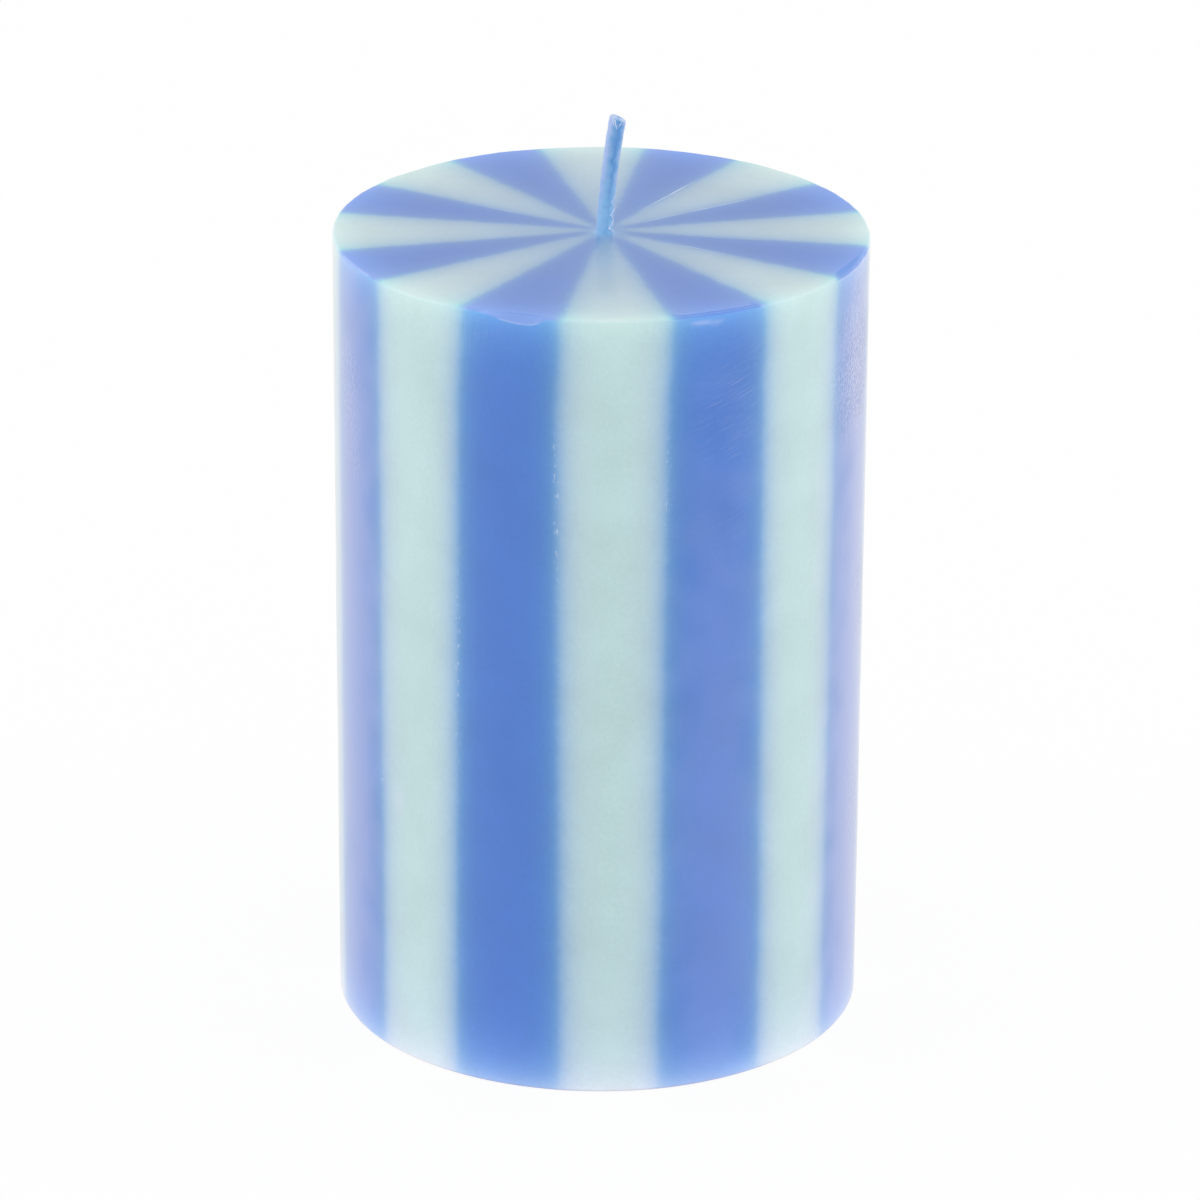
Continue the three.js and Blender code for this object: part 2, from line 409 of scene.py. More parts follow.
def wedge(name, stripe):
    """One wedge of wax between two seams. One more ring at each end is drawn in under the
    surface, because a seam isn't straight and the cap would show along it."""
    rings, wear_and_light = [], []
    for column in range(-1, COLUMNS + 2):
        share = min(1, max(0, column / COLUMNS))
        section = wedge_section(FIRST_SEAM + (stripe + share) * STRIPE_ANGLE)
        if share != column / COLUMNS:
            section = [(*drawn_in(radius, height), 0) for radius, height, _ in section]
        ring = []
        for radius, height, _ in section:
            start, end = seam_angle(stripe, height), seam_angle(stripe + 1, height)
            angle = start + (end - start) * share
            angle += top_shift(height) * math.cos(angle) / radius
            ring.append((radius * math.sin(angle), -radius * math.cos(angle), height))
        rings.append(ring)
        wear_and_light += [point[2] for point in section]
    piece = loft(name, rings)
    set_attribute(piece, "edge_wear_and_light", wear_and_light)
    return piece


print("columns in a wedge:", COLUMNS, "and one drawn in at each end")

# %% All sixteen wedges
wedges = []
for stripe in range(STRIPES):
    dye = "blue" if stripe % 2 else "mint"
    node_name = f"{dye}_wedge_{stripe // 2 + 1}"
    piece = wedge(f"wax_{node_name}", stripe)
    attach(piece, "root")
    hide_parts(node_name)
    wedges.append(piece)
print("wedges:", len(wedges), "of", len(wedges[0].data.vertices), "points")

# %% [markdown]
# ## The wick
#
# A plaited cotton cord, dipped in wax so that it stands up. It leaves the axis inside the candle
# and leans to the right. A plait is two sets of strands that wind opposite ways and take turns on
# top, so its surface is the higher of two slanted waves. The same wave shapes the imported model,
# only coarser. The wax fills the plait near the candle, and the shears left a slanted end with one
# corner rounded off.

# %% Path of the wick
WICK_BEND = BODY_HEIGHT - 15
TIP_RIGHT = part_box("wick")[1].x / MM - WICK_RADIUS
TIP_FORWARD = -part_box("wick")[0].y / MM - WICK_RADIUS
LEAN_POWER = 2.6
CUT_SHORT = 0.45
CUT_SLOPE = math.tan(math.radians(24))
TIP_HEIGHT = WICK_TOP - CUT_SHORT - 0.5 * CUT_SLOPE * WICK_RADIUS


def wick_centre(height):
    """Centre of the wick at a height, straight up to the bend and leaning above it."""
    rise = max(0, height - WICK_BEND) / (TIP_HEIGHT - WICK_BEND)
    return TIP_RIGHT * rise ** LEAN_POWER, -TIP_FORWARD * math.sin(rise * math.pi / 2)


print("wick tip at", [round(value, 2) for value in wick_centre(TIP_HEIGHT)], round(TIP_HEIGHT, 2))

# %% Plait of the wick
STRANDS_EACH_WAY = 4
PLAIT_PITCH = 1.9
PLAIT_RELIEF = 0.035
PLAIT_SHOWS_FROM = 0.4
PLAIT_FULL_FROM = 3
CUT_CORNER = 0.3
CORNER_FROM = 0.4
CUT_SHRINK = (0.97, 0.9, 0.75, 0.55, 0.35, 0.15)
CUT_SWELL = 0.04
WICK_SIDES = 72
WICK_STEPS = 200
WICK_FOOT = TAB_UNDERSIDE


def plait_swell(angle, height):
    """Height of the plait, 0 between strands and 1 on top of one. Wax fills it near the candle."""
    across = STRANDS_EACH_WAY * angle
    along = math.tau * height / PLAIT_PITCH
    swell = (1 + max(math.cos(across - along), math.cos(across + along))) / 2
    return 1 - (1 - swell) * smooth(PLAIT_SHOWS_FROM, PLAIT_FULL_FROM, height - BODY_HEIGHT)


def wick_ring(height, shrink=1.0, lift=0.0):
    """One ring of the wick, tilted towards its cut end. shrink and lift close the cut end."""
    centre = wick_centre(height)
    tilt = smooth(BODY_HEIGHT, TIP_HEIGHT, height)
    ring = []
    for angle in wick_angles:
        radius = (WICK_RADIUS - PLAIT_RELIEF * (1 - plait_swell(angle, height))) * shrink
        x, y = radius * math.cos(angle), radius * math.sin(angle)
        beyond = max(0, -x / WICK_RADIUS - CORNER_FROM) / (1 - CORNER_FROM)
        drop = tilt * (CUT_SLOPE * x + CUT_CORNER * beyond ** 2)
        ring.append((centre[0] + x, centre[1] + y, height - drop + lift))
    return ring


wick_angles = [-math.tau * side / WICK_SIDES for side in range(WICK_SIDES)]
heights = [WICK_FOOT] + steps(WICK_BEND, BODY_HEIGHT - 1, 8)
heights += steps(BODY_HEIGHT - 1, TIP_HEIGHT, WICK_STEPS)[1:]
rings = [wick_ring(height) for height in heights]
rings += [wick_ring(TIP_HEIGHT, shrink, CUT_SWELL * (1 - shrink)) for shrink in CUT_SHRINK]
wick = loft("plaited_wick", rings)
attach(wick, "root")
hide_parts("wick")
print("wick points:", len(wick.data.vertices))

# %% What the cotton needs to know
WICK_MEASURES = {
    "wick_swell": plait_swell,
    "wick_round": lambda angle, _: WICK_RADIUS * ((angle + math.pi) % math.tau - math.pi),
    "wick_right": lambda angle, _: math.cos(angle),
    "wick_up": lambda _, height: height - BODY_HEIGHT,
    "wick_strand": lambda angle, height: float(
        math.sin(STRANDS_EACH_WAY * angle) * math.sin(math.tau * height / PLAIT_PITCH) > 0
    ),
}
ring_heights = heights + [TIP_HEIGHT] * len(CUT_SHRINK)
for name, measure in WICK_MEASURES.items():
    values = [measure(angle, height) for height in ring_heights for angle in wick_angles]
    set_attribute(wick, name, values)
print("attributes:", list(WICK_MEASURES))

# %% [markdown]
# ## A painted highlight and threads on the wick
#
# A thin pale run goes down the right side of the wick, with a few beads. Its pale colour is a
# painted highlight along the edge of the plait, given the shape of a run of wax. The strands turn
# it, so it goes down in a zigzag. The cut end shows a few pale thread ends that spread in a V. They
# are small, but they catch the light.

# %% Thin tubes and beads
TUBE_SIDES = 12


def tube_rings(points, radii):
    """Rings of a thin tube that runs mostly upwards through points in mm."""
    rings = []
    for (x, y, z), radius in zip(points, radii):
        turns = [-math.tau * side / TUBE_SIDES for side in range(TUBE_SIDES)]
        rings.append([(x + radius * math.cos(a), y + radius * math.sin(a), z) for a in turns])
    return rings


def join(name, parts):
    """One object from several, in place."""
    vertices, faces = [], []
    for part in parts:
        first = len(vertices)
        vertices += [vertex.co.copy() for vertex in part.data.vertices]
        faces += [[first + index for index in polygon.vertices] for polygon in part.data.polygons]
        mesh = part.data
        bpy.data.objects.remove(part)
        bpy.data.meshes.remove(mesh)
    mesh = bpy.data.meshes.new(name)
    mesh.from_pydata(vertices, [], faces)
    mesh.shade_smooth()
    return add_object(name, mesh)


def beside_wick(height, degrees, out):
    """A point out mm from the wick's surface. 0 degrees is to the right, -90 to the front."""
    x, y = wick_centre(height)
    angle = math.radians(degrees)
    away = WICK_RADIUS + out
    return (x + away * math.cos(angle), y + away * math.sin(angle), height)


print("a thin tube has", TUBE_SIDES, "sides")

# %% Run of wax, painted pale as a highlight
RUN_TOP = 5.4
RUN_RADIUS = 0.12
RUN_THINNEST = 0.015
RUN_MIDDLE = -38
RUN_SWING = 19
RUN_PERIOD = 1.65
RUN_UNEVEN = 12


def run_place(height):
    """Where the run is at a height, in degrees round the wick."""
    turn = (height - BODY_HEIGHT) / RUN_PERIOD % 1
    uneven = RUN_UNEVEN * (soft_noise(3, height, 0, 0.8) - 0.5)
    return RUN_MIDDLE + height - BODY_HEIGHT + RUN_SWING * (4 * abs(turn - 0.5) - 1) + uneven


run_points, run_radii = [], []
for height in steps(BODY_HEIGHT + 0.02, BODY_HEIGHT + RUN_TOP, 160):
    share = (height - BODY_HEIGHT) / RUN_TOP
    lumpy = 0.6 + 0.8 * soft_noise(0, 7, height, 0.35)
    run_radii.append(max(RUN_THINNEST, RUN_RADIUS * (1 - share ** 4) * lumpy))
    run_points.append(beside_wick(height, run_place(height), 0.0))
highlight_run = loft("highlight_run_on_wick", tube_rings(run_points, run_radii))
print(f"the run of wax is up to {max(run_radii):.2f} mm thick to each side")

# %% Beads of wax, painted pale as highlights
BEADS = 7
FIRST_BEAD = 0.1
BEAD_DRIFT = 0.3
BEAD_ASIDE = 12
BEAD_SMALLEST = 0.06
BEAD_VARIES = 0.07
BEAD_LENGTHENED = 1.5

beads = []
for number in range(BEADS):
    drift = BEAD_DRIFT * (soft_noise(number * 1.7, 0, 3, 1) - 0.5)
    height = BODY_HEIGHT + FIRST_BEAD + number * RUN_PERIOD / 2 + drift
    radius = BEAD_SMALLEST + BEAD_VARIES * soft_noise(number * 2.3, 5, 0, 1)
    aside = BEAD_ASIDE * (soft_noise(number * 1.3, 2, 2, 1) - 0.5)
    x, y, z = beside_wick(height, run_place(height) + aside, 0.0)
    turns = [math.radians(turn) for turn in steps(-80, 80, 8)]
    points = [(x, y, z + BEAD_LENGTHENED * radius * math.sin(turn)) for turn in turns]
    beads.append(loft("bead", tube_rings(points, [radius * math.cos(turn) for turn in turns])))
highlight_beads = join("highlight_beads_on_wick", beads)
print("beads:", len(beads), "with", len(highlight_beads.data.vertices), "points")

# %% Thread ends: the place round the wick where each starts and ends, and its length
THREADS = (
    (-72, -112, 1.5), (-84, -60, 1.2), (-100, -128, 1.0), (-58, -36, 0.9), (-150, -165, 0.9),
)
THREAD_RADIUS = 0.1

threads = []
for start, end, length in THREADS:
    points, radii = [], []
    for share in steps(0, 1, 10):
        degrees = start + (end - start) * share
        rise = (length - 0.1 - CUT_SLOPE * math.cos(math.radians(degrees))) * share
        points.append(beside_wick(TIP_HEIGHT - length + rise, degrees, -0.03 - 0.06 * (1 - share)))
        radii.append(THREAD_RADIUS * (0.55 + 0.45 * share))
    threads.append(loft("thread", tube_rings(points, radii)))
thread_ends = join("thread_ends", threads)
for piece in (highlight_run, highlight_beads, thread_ends):
    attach(piece, "root")
print("small pieces:", [piece.name for piece in (highlight_run, highlight_beads, thread_ends)])

# %% [markdown]
# ## The poured core
#
# The hole left for the wick is filled with melted wax, which climbs the wick a little before it
# sets. The piece is lofted from its outer wall, over the top, down the hole and back, with the
# rings sliding from the candle's axis to the wick's own centre on the way in.

# %% Core
MENISCUS_HEIGHT = 0.1
MENISCUS_REACH = 0.8
WICK_CLEARANCE = 0.1
LIP_CLEARANCE = 0.01
CORE_SIDES = 96
COLLAR_POCKET = 2.5


def circle(centre, radius, height):
    """Points of a level circle, clockwise seen from above."""
    return [
        (centre[0] + radius * math.sin(a), centre[1] - radius * math.cos(a), height)
        for a in (-math.tau * side / CORE_SIDES for side in range(CORE_SIDES))
    ]


def core_rings():
    """Rings of the core: up its wall, over the top to the wick, down the hole, and back."""
    hole, lip = WICK_RADIUS + WICK_CLEARANCE, WICK_RADIUS + LIP_CLEARANCE
    exit_centre = wick_centre(BODY_HEIGHT)
    wall = steps(RECESS_HEIGHT, BODY_HEIGHT - 1, 20)
    rings = [circle((0, 0), CORE_RADIUS, height) for height in wall]
    for share in steps(0, 1, 16):
        centre = (exit_centre[0] * share, exit_centre[1] * share)
        radius = CORE_RADIUS + (lip - CORE_RADIUS) * share
        climb = MENISCUS_HEIGHT * max(0, 1 - (radius - lip) / MENISCUS_REACH) ** 2
        rings.append([(x, y, top_height(x, y) + climb) for x, y, _ in circle(centre, radius, 0)])
    rings.append(circle(wick_centre(BODY_HEIGHT - 0.4), lip, BODY_HEIGHT - 0.4))
    for height in steps(BODY_HEIGHT - 0.5, COLLAR_TOP + 0.3, 30):
        rings.append(circle(wick_centre(height), hole, height))
    rings.append(circle((0, 0), COLLAR_POCKET, COLLAR_TOP + 0.3))
    rings.append(circle((0, 0), COLLAR_POCKET, RECESS_HEIGHT))
    return rings


core = loft("poured_core", core_rings(), closed=True)
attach(core, "root")
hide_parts("wick_core")
print("core points:", len(core.data.vertices))

# %% [markdown]
# ## The steel tab
#
# A disc of tinned steel keeps the wick upright when the wax has melted. It is stamped: its middle
# is drawn down through a die into a thin collar, and the collar is pinched on the wick from two
# sides. Turning one section round the axis makes it, and the pinch is a press on the radius.

# %% Tab
TAB_SIDES = 128
STAMPED_EDGE_ROUND = 0.08
COLLAR_PLAY = 0.6
COLLAR_FOOT_ROUND = 0.6
CRIMP_HEIGHT = 1.8
CRIMP_LEAVES = 0.15


def tab_section():
    """(radius, height) points of the tab, anticlockwise from the underside of its outer edge."""
    inside = WICK_RADIUS + COLLAR_PLAY
    outside = inside + TAB_THICKNESS
    low, high = TAB_UNDERSIDE, TAB_UNDERSIDE + TAB_THICKNESS
    edge = TAB_RADIUS - STAMPED_EDGE_ROUND
    foot = (outside + COLLAR_FOOT_ROUND, high + COLLAR_FOOT_ROUND)
    points = arc((edge, low + STAMPED_EDGE_ROUND), STAMPED_EDGE_ROUND, -90, 0, 3)
    points += arc((edge, high - STAMPED_EDGE_ROUND), STAMPED_EDGE_ROUND, 0, 90, 3)
    points += arc(foot, COLLAR_FOOT_ROUND, -90, -180, 6)
    points += [(outside, z) for z in steps(foot[1], COLLAR_TOP, 24)[1:]]
    points += [(inside, z) for z in steps(COLLAR_TOP, foot[1], 24)]
    points += arc(foot, COLLAR_FOOT_ROUND + TAB_THICKNESS, 180, 270, 6)[1:]
    return points


def crimp_press(angle, height):
    """How far the collar is pressed in, in mm."""
    half = CRIMP_HEIGHT / 2
    near = max(0, 1 - abs(height - (COLLAR_TOP - half)) / half)
    sideways = (1 + math.cos(2 * angle)) / 2
    return (COLLAR_PLAY - CRIMP_LEAVES) * math.sin(near * math.pi / 2) ** 2 * sideways


tab_rings = []
for side in range(TAB_SIDES):
    angle = math.tau * side / TAB_SIDES
    pressed = [(radius - crimp_press(angle, height), height) for radius, height in tab_section()]
    tab_rings.append([(r * math.cos(angle), r * math.sin(angle), z) for r, z in pressed])
tab = loft("steel_wick_tab", tab_rings, closed=True)
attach(tab, "root")
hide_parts("wick_tab")
print("tab points:", len(tab.data.vertices))

# %% [markdown]
# ## What the wax needs to know
#
# The colour of candle wax depends on where a point is: how far it is from the next seam, how wide
# its stripe is there, and how close it is to an edge, where light gets through. A shader can't know
# the seams, so the mesh carries these distances, in millimetres, as attributes.

# %% Round the wick
MOLTEN_AT = (0.8, 0.0)
MOLTEN_FROM = 6.3
MOLTEN_TO = 1.8
MOLTEN_RAGGED = 2.5
MOLTEN_RAGGED_SIZE = 3
WICK_DYE_REACH = 0.7
TOP_DEPTH = 1


def molten_share(point):
    """How far both dyes were molten together: all round the wick, and more on its right."""
    away = math.hypot(point.x - MOLTEN_AT[0], point.y - MOLTEN_AT[1])
    away += MOLTEN_RAGGED * (soft_noise(point.x, point.y, 70, MOLTEN_RAGGED_SIZE) - 0.5)
    return smooth(MOLTEN_FROM, MOLTEN_TO, away)


def near_wick(point):
    """1 against the wick and less further out. The wick lends its colour to the wax beside it."""
    x, y = wick_centre(BODY_HEIGHT)
    away = max(0, math.hypot(point.x - x, point.y - y) - WICK_RADIUS)
    on_top = smooth(BODY_HEIGHT - 2 * TOP_DEPTH, BODY_HEIGHT - TOP_DEPTH, point.z)
    return math.exp(-away / WICK_DYE_REACH) * on_top


five_right = Vector((5, 0, BODY_HEIGHT))
print("molten 5 mm right of the axis:", round(molten_share(five_right), 2))

# %% Painted highlights along seams on the top: the plan angle of each, where it starts and ends, and its strength
SEAM_HIGHLIGHTS = (
    (148.8, 8, 24, 1), (126.3, 5, 24, 0.9), (81.3, 9, 22, 0.5), (58.8, 9, 24, 0.5),
    (-121, 9, 20, 0.6),
)
SEAM_HIGHLIGHT_RISES_IN = 4
SEAM_HIGHLIGHT_FALLS_IN = 6
SEAM_HIGHLIGHT_WITHIN_DEGREES = 6
SEAM_HIGHLIGHT_BREAK_SIZE = 2.5


def seam_highlight_strength(point):
    """How strongly a seam on the top gets a thin painted highlight, where the wedges meet in a tiny
    lip. It is broken here and there.
    """
    angle, radius = math.degrees(math.atan2(point.x, -point.y)), math.hypot(point.x, point.y)
    strength = 0
    for degrees, start, end, most in SEAM_HIGHLIGHTS:
        along = smooth(start, start + SEAM_HIGHLIGHT_RISES_IN, radius)
        along *= smooth(end, end - SEAM_HIGHLIGHT_FALLS_IN, radius)
        near = abs(angle - degrees) < SEAM_HIGHLIGHT_WITHIN_DEGREES
        strength = max(strength, most * along * near)
    broken = smooth(0.25, 0.7, soft_noise(point.x, point.y, 90, SEAM_HIGHLIGHT_BREAK_SIZE))
    return strength * (0.25 + 0.75 * broken) * (point.z > BODY_HEIGHT - TOP_DEPTH)


print("ridges:", len(SEAM_HIGHLIGHTS), "of", STRIPES, "seams")

# %% Distances on the wax
def plan_angles(points):
    """Plan angles of the points of one piece, without the jump at the back."""
    angles = [math.atan2(p.x, -p.y) for p in points]
    if max(angles) - min(angles) > math.pi:
        angles = [angle % math.tau for angle in angles]
    return angles


for piece in [*wedges, core]:
    points = [vertex.co / MM for vertex in piece.data.vertices]
    from_axis = [(p, math.hypot(p.x, p.y)) for p in points]
    distances = {
        "into_blue": [blue_side(*p) for p in points],
        "half_stripe": [r * STRIPE_ANGLE / 2 for _, r in from_axis],
        "from_rim": [BODY_RADIUS - r + BODY_HEIGHT - p.z for p, r in from_axis],
        "from_base": [BODY_RADIUS - r + p.z for p, r in from_axis],
        "round_side": [BODY_RADIUS * angle for angle in plan_angles(points)],
        "molten": [molten_share(p) for p in points],
        "by_wick": [near_wick(p) for p in points],
        "seam_highlight": [seam_highlight_strength(p) for p in points],
    }
    for name, values in distances.items():
        set_attribute(piece, name, values)
set_attribute(core, "edge_wear_and_light", [0] * len(core.data.vertices))
DISTANCES = (*distances, "edge_wear_and_light")
print("distances:", DISTANCES)

# %% [markdown]
# ## Where the wax is marked
#
# A candle that has been packed and handled has marks, and they aren't spread evenly. The few that
# show most are listed: a plan angle in degrees, a height, half a width and half a height in
# millimetres, and a strength. Slow noise adds fainter ones behind, so that the back isn't bare.

# %% Marks
MARKS = {
    "pitted": (
        (72, 87, 10, 13, 1), (77, 56, 6, 9, 0.6), (77, 30, 7, 12, 0.35), (-68, 82, 6, 12, 0.4),
    ),
    "scratched": (
        (29, 89, 7, 11, 1), (30, 74, 7, 6, 0.5), (48, 82, 9, 14, 0.6), (-22, 97, 5, 3, 0.4),
    ),
    # Bloom, and painted sheen: the broad patches at -68 and 72 degrees paint a pale sheen over the
    # left and right of the side, and the one at 72 is frosted as well
    "bloom_and_sheen": (
        (-48.4, 34, 1.6, 3, 1), (-68, 50, 12, 90, 0.8), (72, 40, 13, 100, 1.15),
        (26, 30, 10, 75, 0.45), (21.5, 98.9, 2.2, 0.5, 1.6), (24.5, 98.7, 1.5, 0.4, 1.2),
    ),
    "crumbed": (
        (-31.4, 55, 2, 22, 0.8), (-8.8, 77, 2, 14, 0.9), (-54, 35, 2, 6, 0.8),
        (13.9, 78, 2, 11, 0.8), (-33.4, 2, 1.5, 2, 1),
    ),
    "streaked": ((74, 96, 9, 8, 0.7), (-30, 97, 6, 4, 0.3), (50, 70, 5, 20, 0.3)),
}
FAINT_FROM = 0.62
FAINT_TO = 0.85
FAINT_SIZE = 22
FAINT_STRENGTH = 0.35
BACK_FROM = 1.1
BACK_TO = 1.8
RAGGED = 0.6
RAGGED_SIZE = 4
RAGGED_IF_OVER = 5


def mark_strength(point, places, seed):
    """How strongly a point in mm is marked, from 0 up. Only the side is marked."""
    angle = math.atan2(point.x, -point.y)
    on_side = smooth(BODY_RADIUS - 0.6, BODY_RADIUS - 0.2, math.hypot(point.x, point.y))
    faint = smooth(FAINT_FROM, FAINT_TO, soft_noise(point.x, point.y, point.z + seed, FAINT_SIZE))
    strength = FAINT_STRENGTH * faint * smooth(BACK_FROM, BACK_TO, abs(angle))
    ragged = RAGGED * (soft_noise(point.x, point.y, point.z - seed, RAGGED_SIZE) - 0.5)
    for degrees, height, half_width, half_height, most in places:
        across = BODY_RADIUS * (angle - math.radians(degrees)) / half_width
        away = math.hypot(across, (point.z - height) / half_height)
        away += ragged * (min(half_width, half_height) > RAGGED_IF_OVER)
        strength = max(strength, most * smooth(1, 0.2, away))
    return strength * on_side


for piece in [*wedges, core]:
    points = [vertex.co / MM for vertex in piece.data.vertices]
    for number, (mark, places) in enumerate(MARKS.items()):
        set_attribute(piece, mark, [mark_strength(p, places, 100 * number) for p in points])
print("marks:", {mark: len(places) for mark, places in MARKS.items()})

# %% [markdown]
# ## Nodes
#
# One helper writes every material. It adds a node, sets what it is given, and links what it is
# given as a node or a socket. Every material here ends in the same way, in relief and a surface, so
# that is a helper too.

# %% Node helper and colours
def add_node(tree, kind, inputs=None, **settings):
    """Add a shader node. inputs holds values, or nodes and sockets to link, by the name or the
    number of a socket."""
    made = tree.nodes.new(kind)
    for name, value in settings.items():
        setattr(made, name, value)
    for key, value in (inputs or {}).items():
        socket = made.inputs[key] if isinstance(key, int) else None
        socket = socket or next(s for s in made.inputs if s.name == key and s.enabled)
        if isinstance(value, bpy.types.Node):
            value = next(s for s in value.outputs if s.enabled)
        if isinstance(value, bpy.types.NodeSocket):
            tree.links.new(value, socket)
        else:
            socket.default_value = value
    return made


def linear(code):
    """Linear red, green and blue of an sRGB hex colour."""
    shares = [int(code[i:i + 2], 16) / 255 for i in (1, 3, 5)]
    return [s / 12.92 if s <= 0.04045 else ((s + 0.055) / 1.055) ** 2.4 for s in shares]


def paint(code):
    """A colour as a socket wants it, with a fourth number for full cover."""
    return (*linear(code), 1)


def new_material(name):
    """An empty material and its nodes."""
    material = bpy.data.materials.new(name)
    material.use_nodes = True
    material.node_tree.nodes.clear()
    return material, material.node_tree


def end_material(tree, relief, look):
    """The end of a material: its relief in metres, and the look of its surface."""
    bump = add_node(tree, "ShaderNodeBump", {"Height": relief, "Distance": 1.0})
    shader = add_node(tree, "ShaderNodeBsdfPrincipled", {**look, "Normal": bump})
    add_node(tree, "ShaderNodeOutputMaterial", {"Surface": shader})


print("blue of #4274C9 in linear light:", round(linear("#4274C9")[2], 3))

# %% [markdown]
# ## Dyed paraffin
#
# Paraffin wax is cloudy: light goes in, wanders a few millimetres, loses what the dye takes, and
# comes out. So there is no hard line between two stripes. Each channel of light wanders its own
# distance, which is what turns the mint next to a seam greyish lilac and the blue next to it
# slightly cyan. The same wandering makes an edge of the candle pale, because light there comes out
# after a shorter way through the dye.
#
# Subsurface scattering would need the sixteen wedges to be one solid. Here they are separate, so
# the effect is worked out from the distances on the mesh, by the law that dye follows: colours
# multiply along the way.

# %% Colours of the wax
BLUE_DYED = "#4274C9"
MINT_DYED = "#BAD8D7"
# Whites: bloom with the painted sheen, then wear with the painted highlights
BLOOM_AND_SHEEN = "#DDDDFB"
WEAR_AND_HIGHLIGHT = "#E3EDFB"
WICK_DYE = "#8EBAE3"
CLEAN_OR_SHADED_WAX = (0.58, 0.84, 0.9)
BASE_PALE = (0.72, 0.72, 0.95)
BASE_PALE_REACH = 4.0
PALE_BY_CHANNEL = (1, 1, 0.75)
print("what the blue dye takes from the mint, by channel:", [
    round(1 - blue / mint, 2) for blue, mint in zip(linear(BLUE_DYED), linear(MINT_DYED))
])

# %% Share of the blue dye
WAVER_SIZE = 1.6
SPREAD_POWER = 3.5


def share_of_blue(tree, place, distance, finish):
    """Node for the share of blue dye by channel, 0 in the mint wax and 1 in the blue."""
    half_stripe = distance["half_stripe"]
    waver = add_node(tree, "ShaderNodeTexNoise", {
        "Vector": place, "Scale": 1 / (WAVER_SIZE * MM), "Detail": 5.0,
    })
    waver = add_node(tree, "ShaderNodeMapRange", {
        "Value": waver, "To Min": -finish["waver"], "To Max": finish["waver"],
    })
    into = add_node(tree, "ShaderNodeMath", {0: distance["into_blue"], 1: waver}, operation="ADD")

    # The blue dye spreads a little where the wax was cut, more towards the rim
    outward = add_node(tree, "ShaderNodeMath", {
        0: half_stripe, 1: BODY_RADIUS * STRIPE_ANGLE / 2,
    }, operation="DIVIDE")
    outward = add_node(tree, "ShaderNodeMath", {0: outward, 1: SPREAD_POWER}, operation="POWER")
    into = add_node(tree, "ShaderNodeMath", {
        0: outward, 1: finish["spread"], 2: into,
    }, operation="MULTIPLY_ADD")
    depth = add_node(tree, "ShaderNodeMath", {0: into}, operation="ABSOLUTE")
    depth = add_node(tree, "ShaderNodeMath", {0: depth, 1: half_stripe}, operation="MINIMUM")

    # Light carries the neighbour's colour far in, more where the stripe is narrow
    left = add_node(tree, "ShaderNodeMath", {0: half_stripe, 1: depth}, operation="SUBTRACT")
    faded = []
    for length in (left, half_stripe):
        share = add_node(tree, "ShaderNodeMath", {
            0: length, 1: finish["bleed"],
        }, operation="DIVIDE")
        faded.append(add_node(tree, "ShaderNodeMath", {0: share}, operation="COSH"))
    carried = add_node(tree, "ShaderNodeMath", {0: faded[0], 1: faded[1]}, operation="DIVIDE")
    carried = add_node(tree, "ShaderNodeMath", {
        0: carried, 1: finish["carried"],
    }, operation="MULTIPLY")

    # The dye itself only reaches a little way
    mixed = add_node(tree, "ShaderNodeMath", {
        0: depth, 1: -finish["mixed_reach"],
    }, operation="DIVIDE")
    mixed = add_node(tree, "ShaderNodeMath", {0: mixed}, operation="EXPONENT")
    mixed = add_node(tree, "ShaderNodeMath", {
        0: mixed, 1: 1 - finish["carried"],
    }, operation="MULTIPLY")
    other = add_node(tree, "ShaderNodeMath", {0: carried, 1: mixed}, operation="ADD")

    # In the middle both dyes were molten together
    other = add_node(tree, "ShaderNodeMath", {0: other, 1: distance["molten"]}, operation="MAXIMUM")
    other = add_node(tree, "ShaderNodeVectorMath", {
        0: other, 1: finish["by_channel"],
    }, operation="POWER")
    sign = add_node(tree, "ShaderNodeMath", {0: into}, operation="SIGN")
    own = add_node(tree, "ShaderNodeVectorMath", {0: (1, 1, 1), 1: other}, operation="SUBTRACT")
    own = add_node(tree, "ShaderNodeVectorMath", {0: own, 1: sign}, operation="MULTIPLY")
    half = (0.5, 0.5, 0.5)
    return add_node(tree, "ShaderNodeVectorMath", {
        0: own, 1: half, 2: half,
    }, operation="MULTIPLY_ADD")


print("the colours of a seam waver every", WAVER_SIZE, "mm")

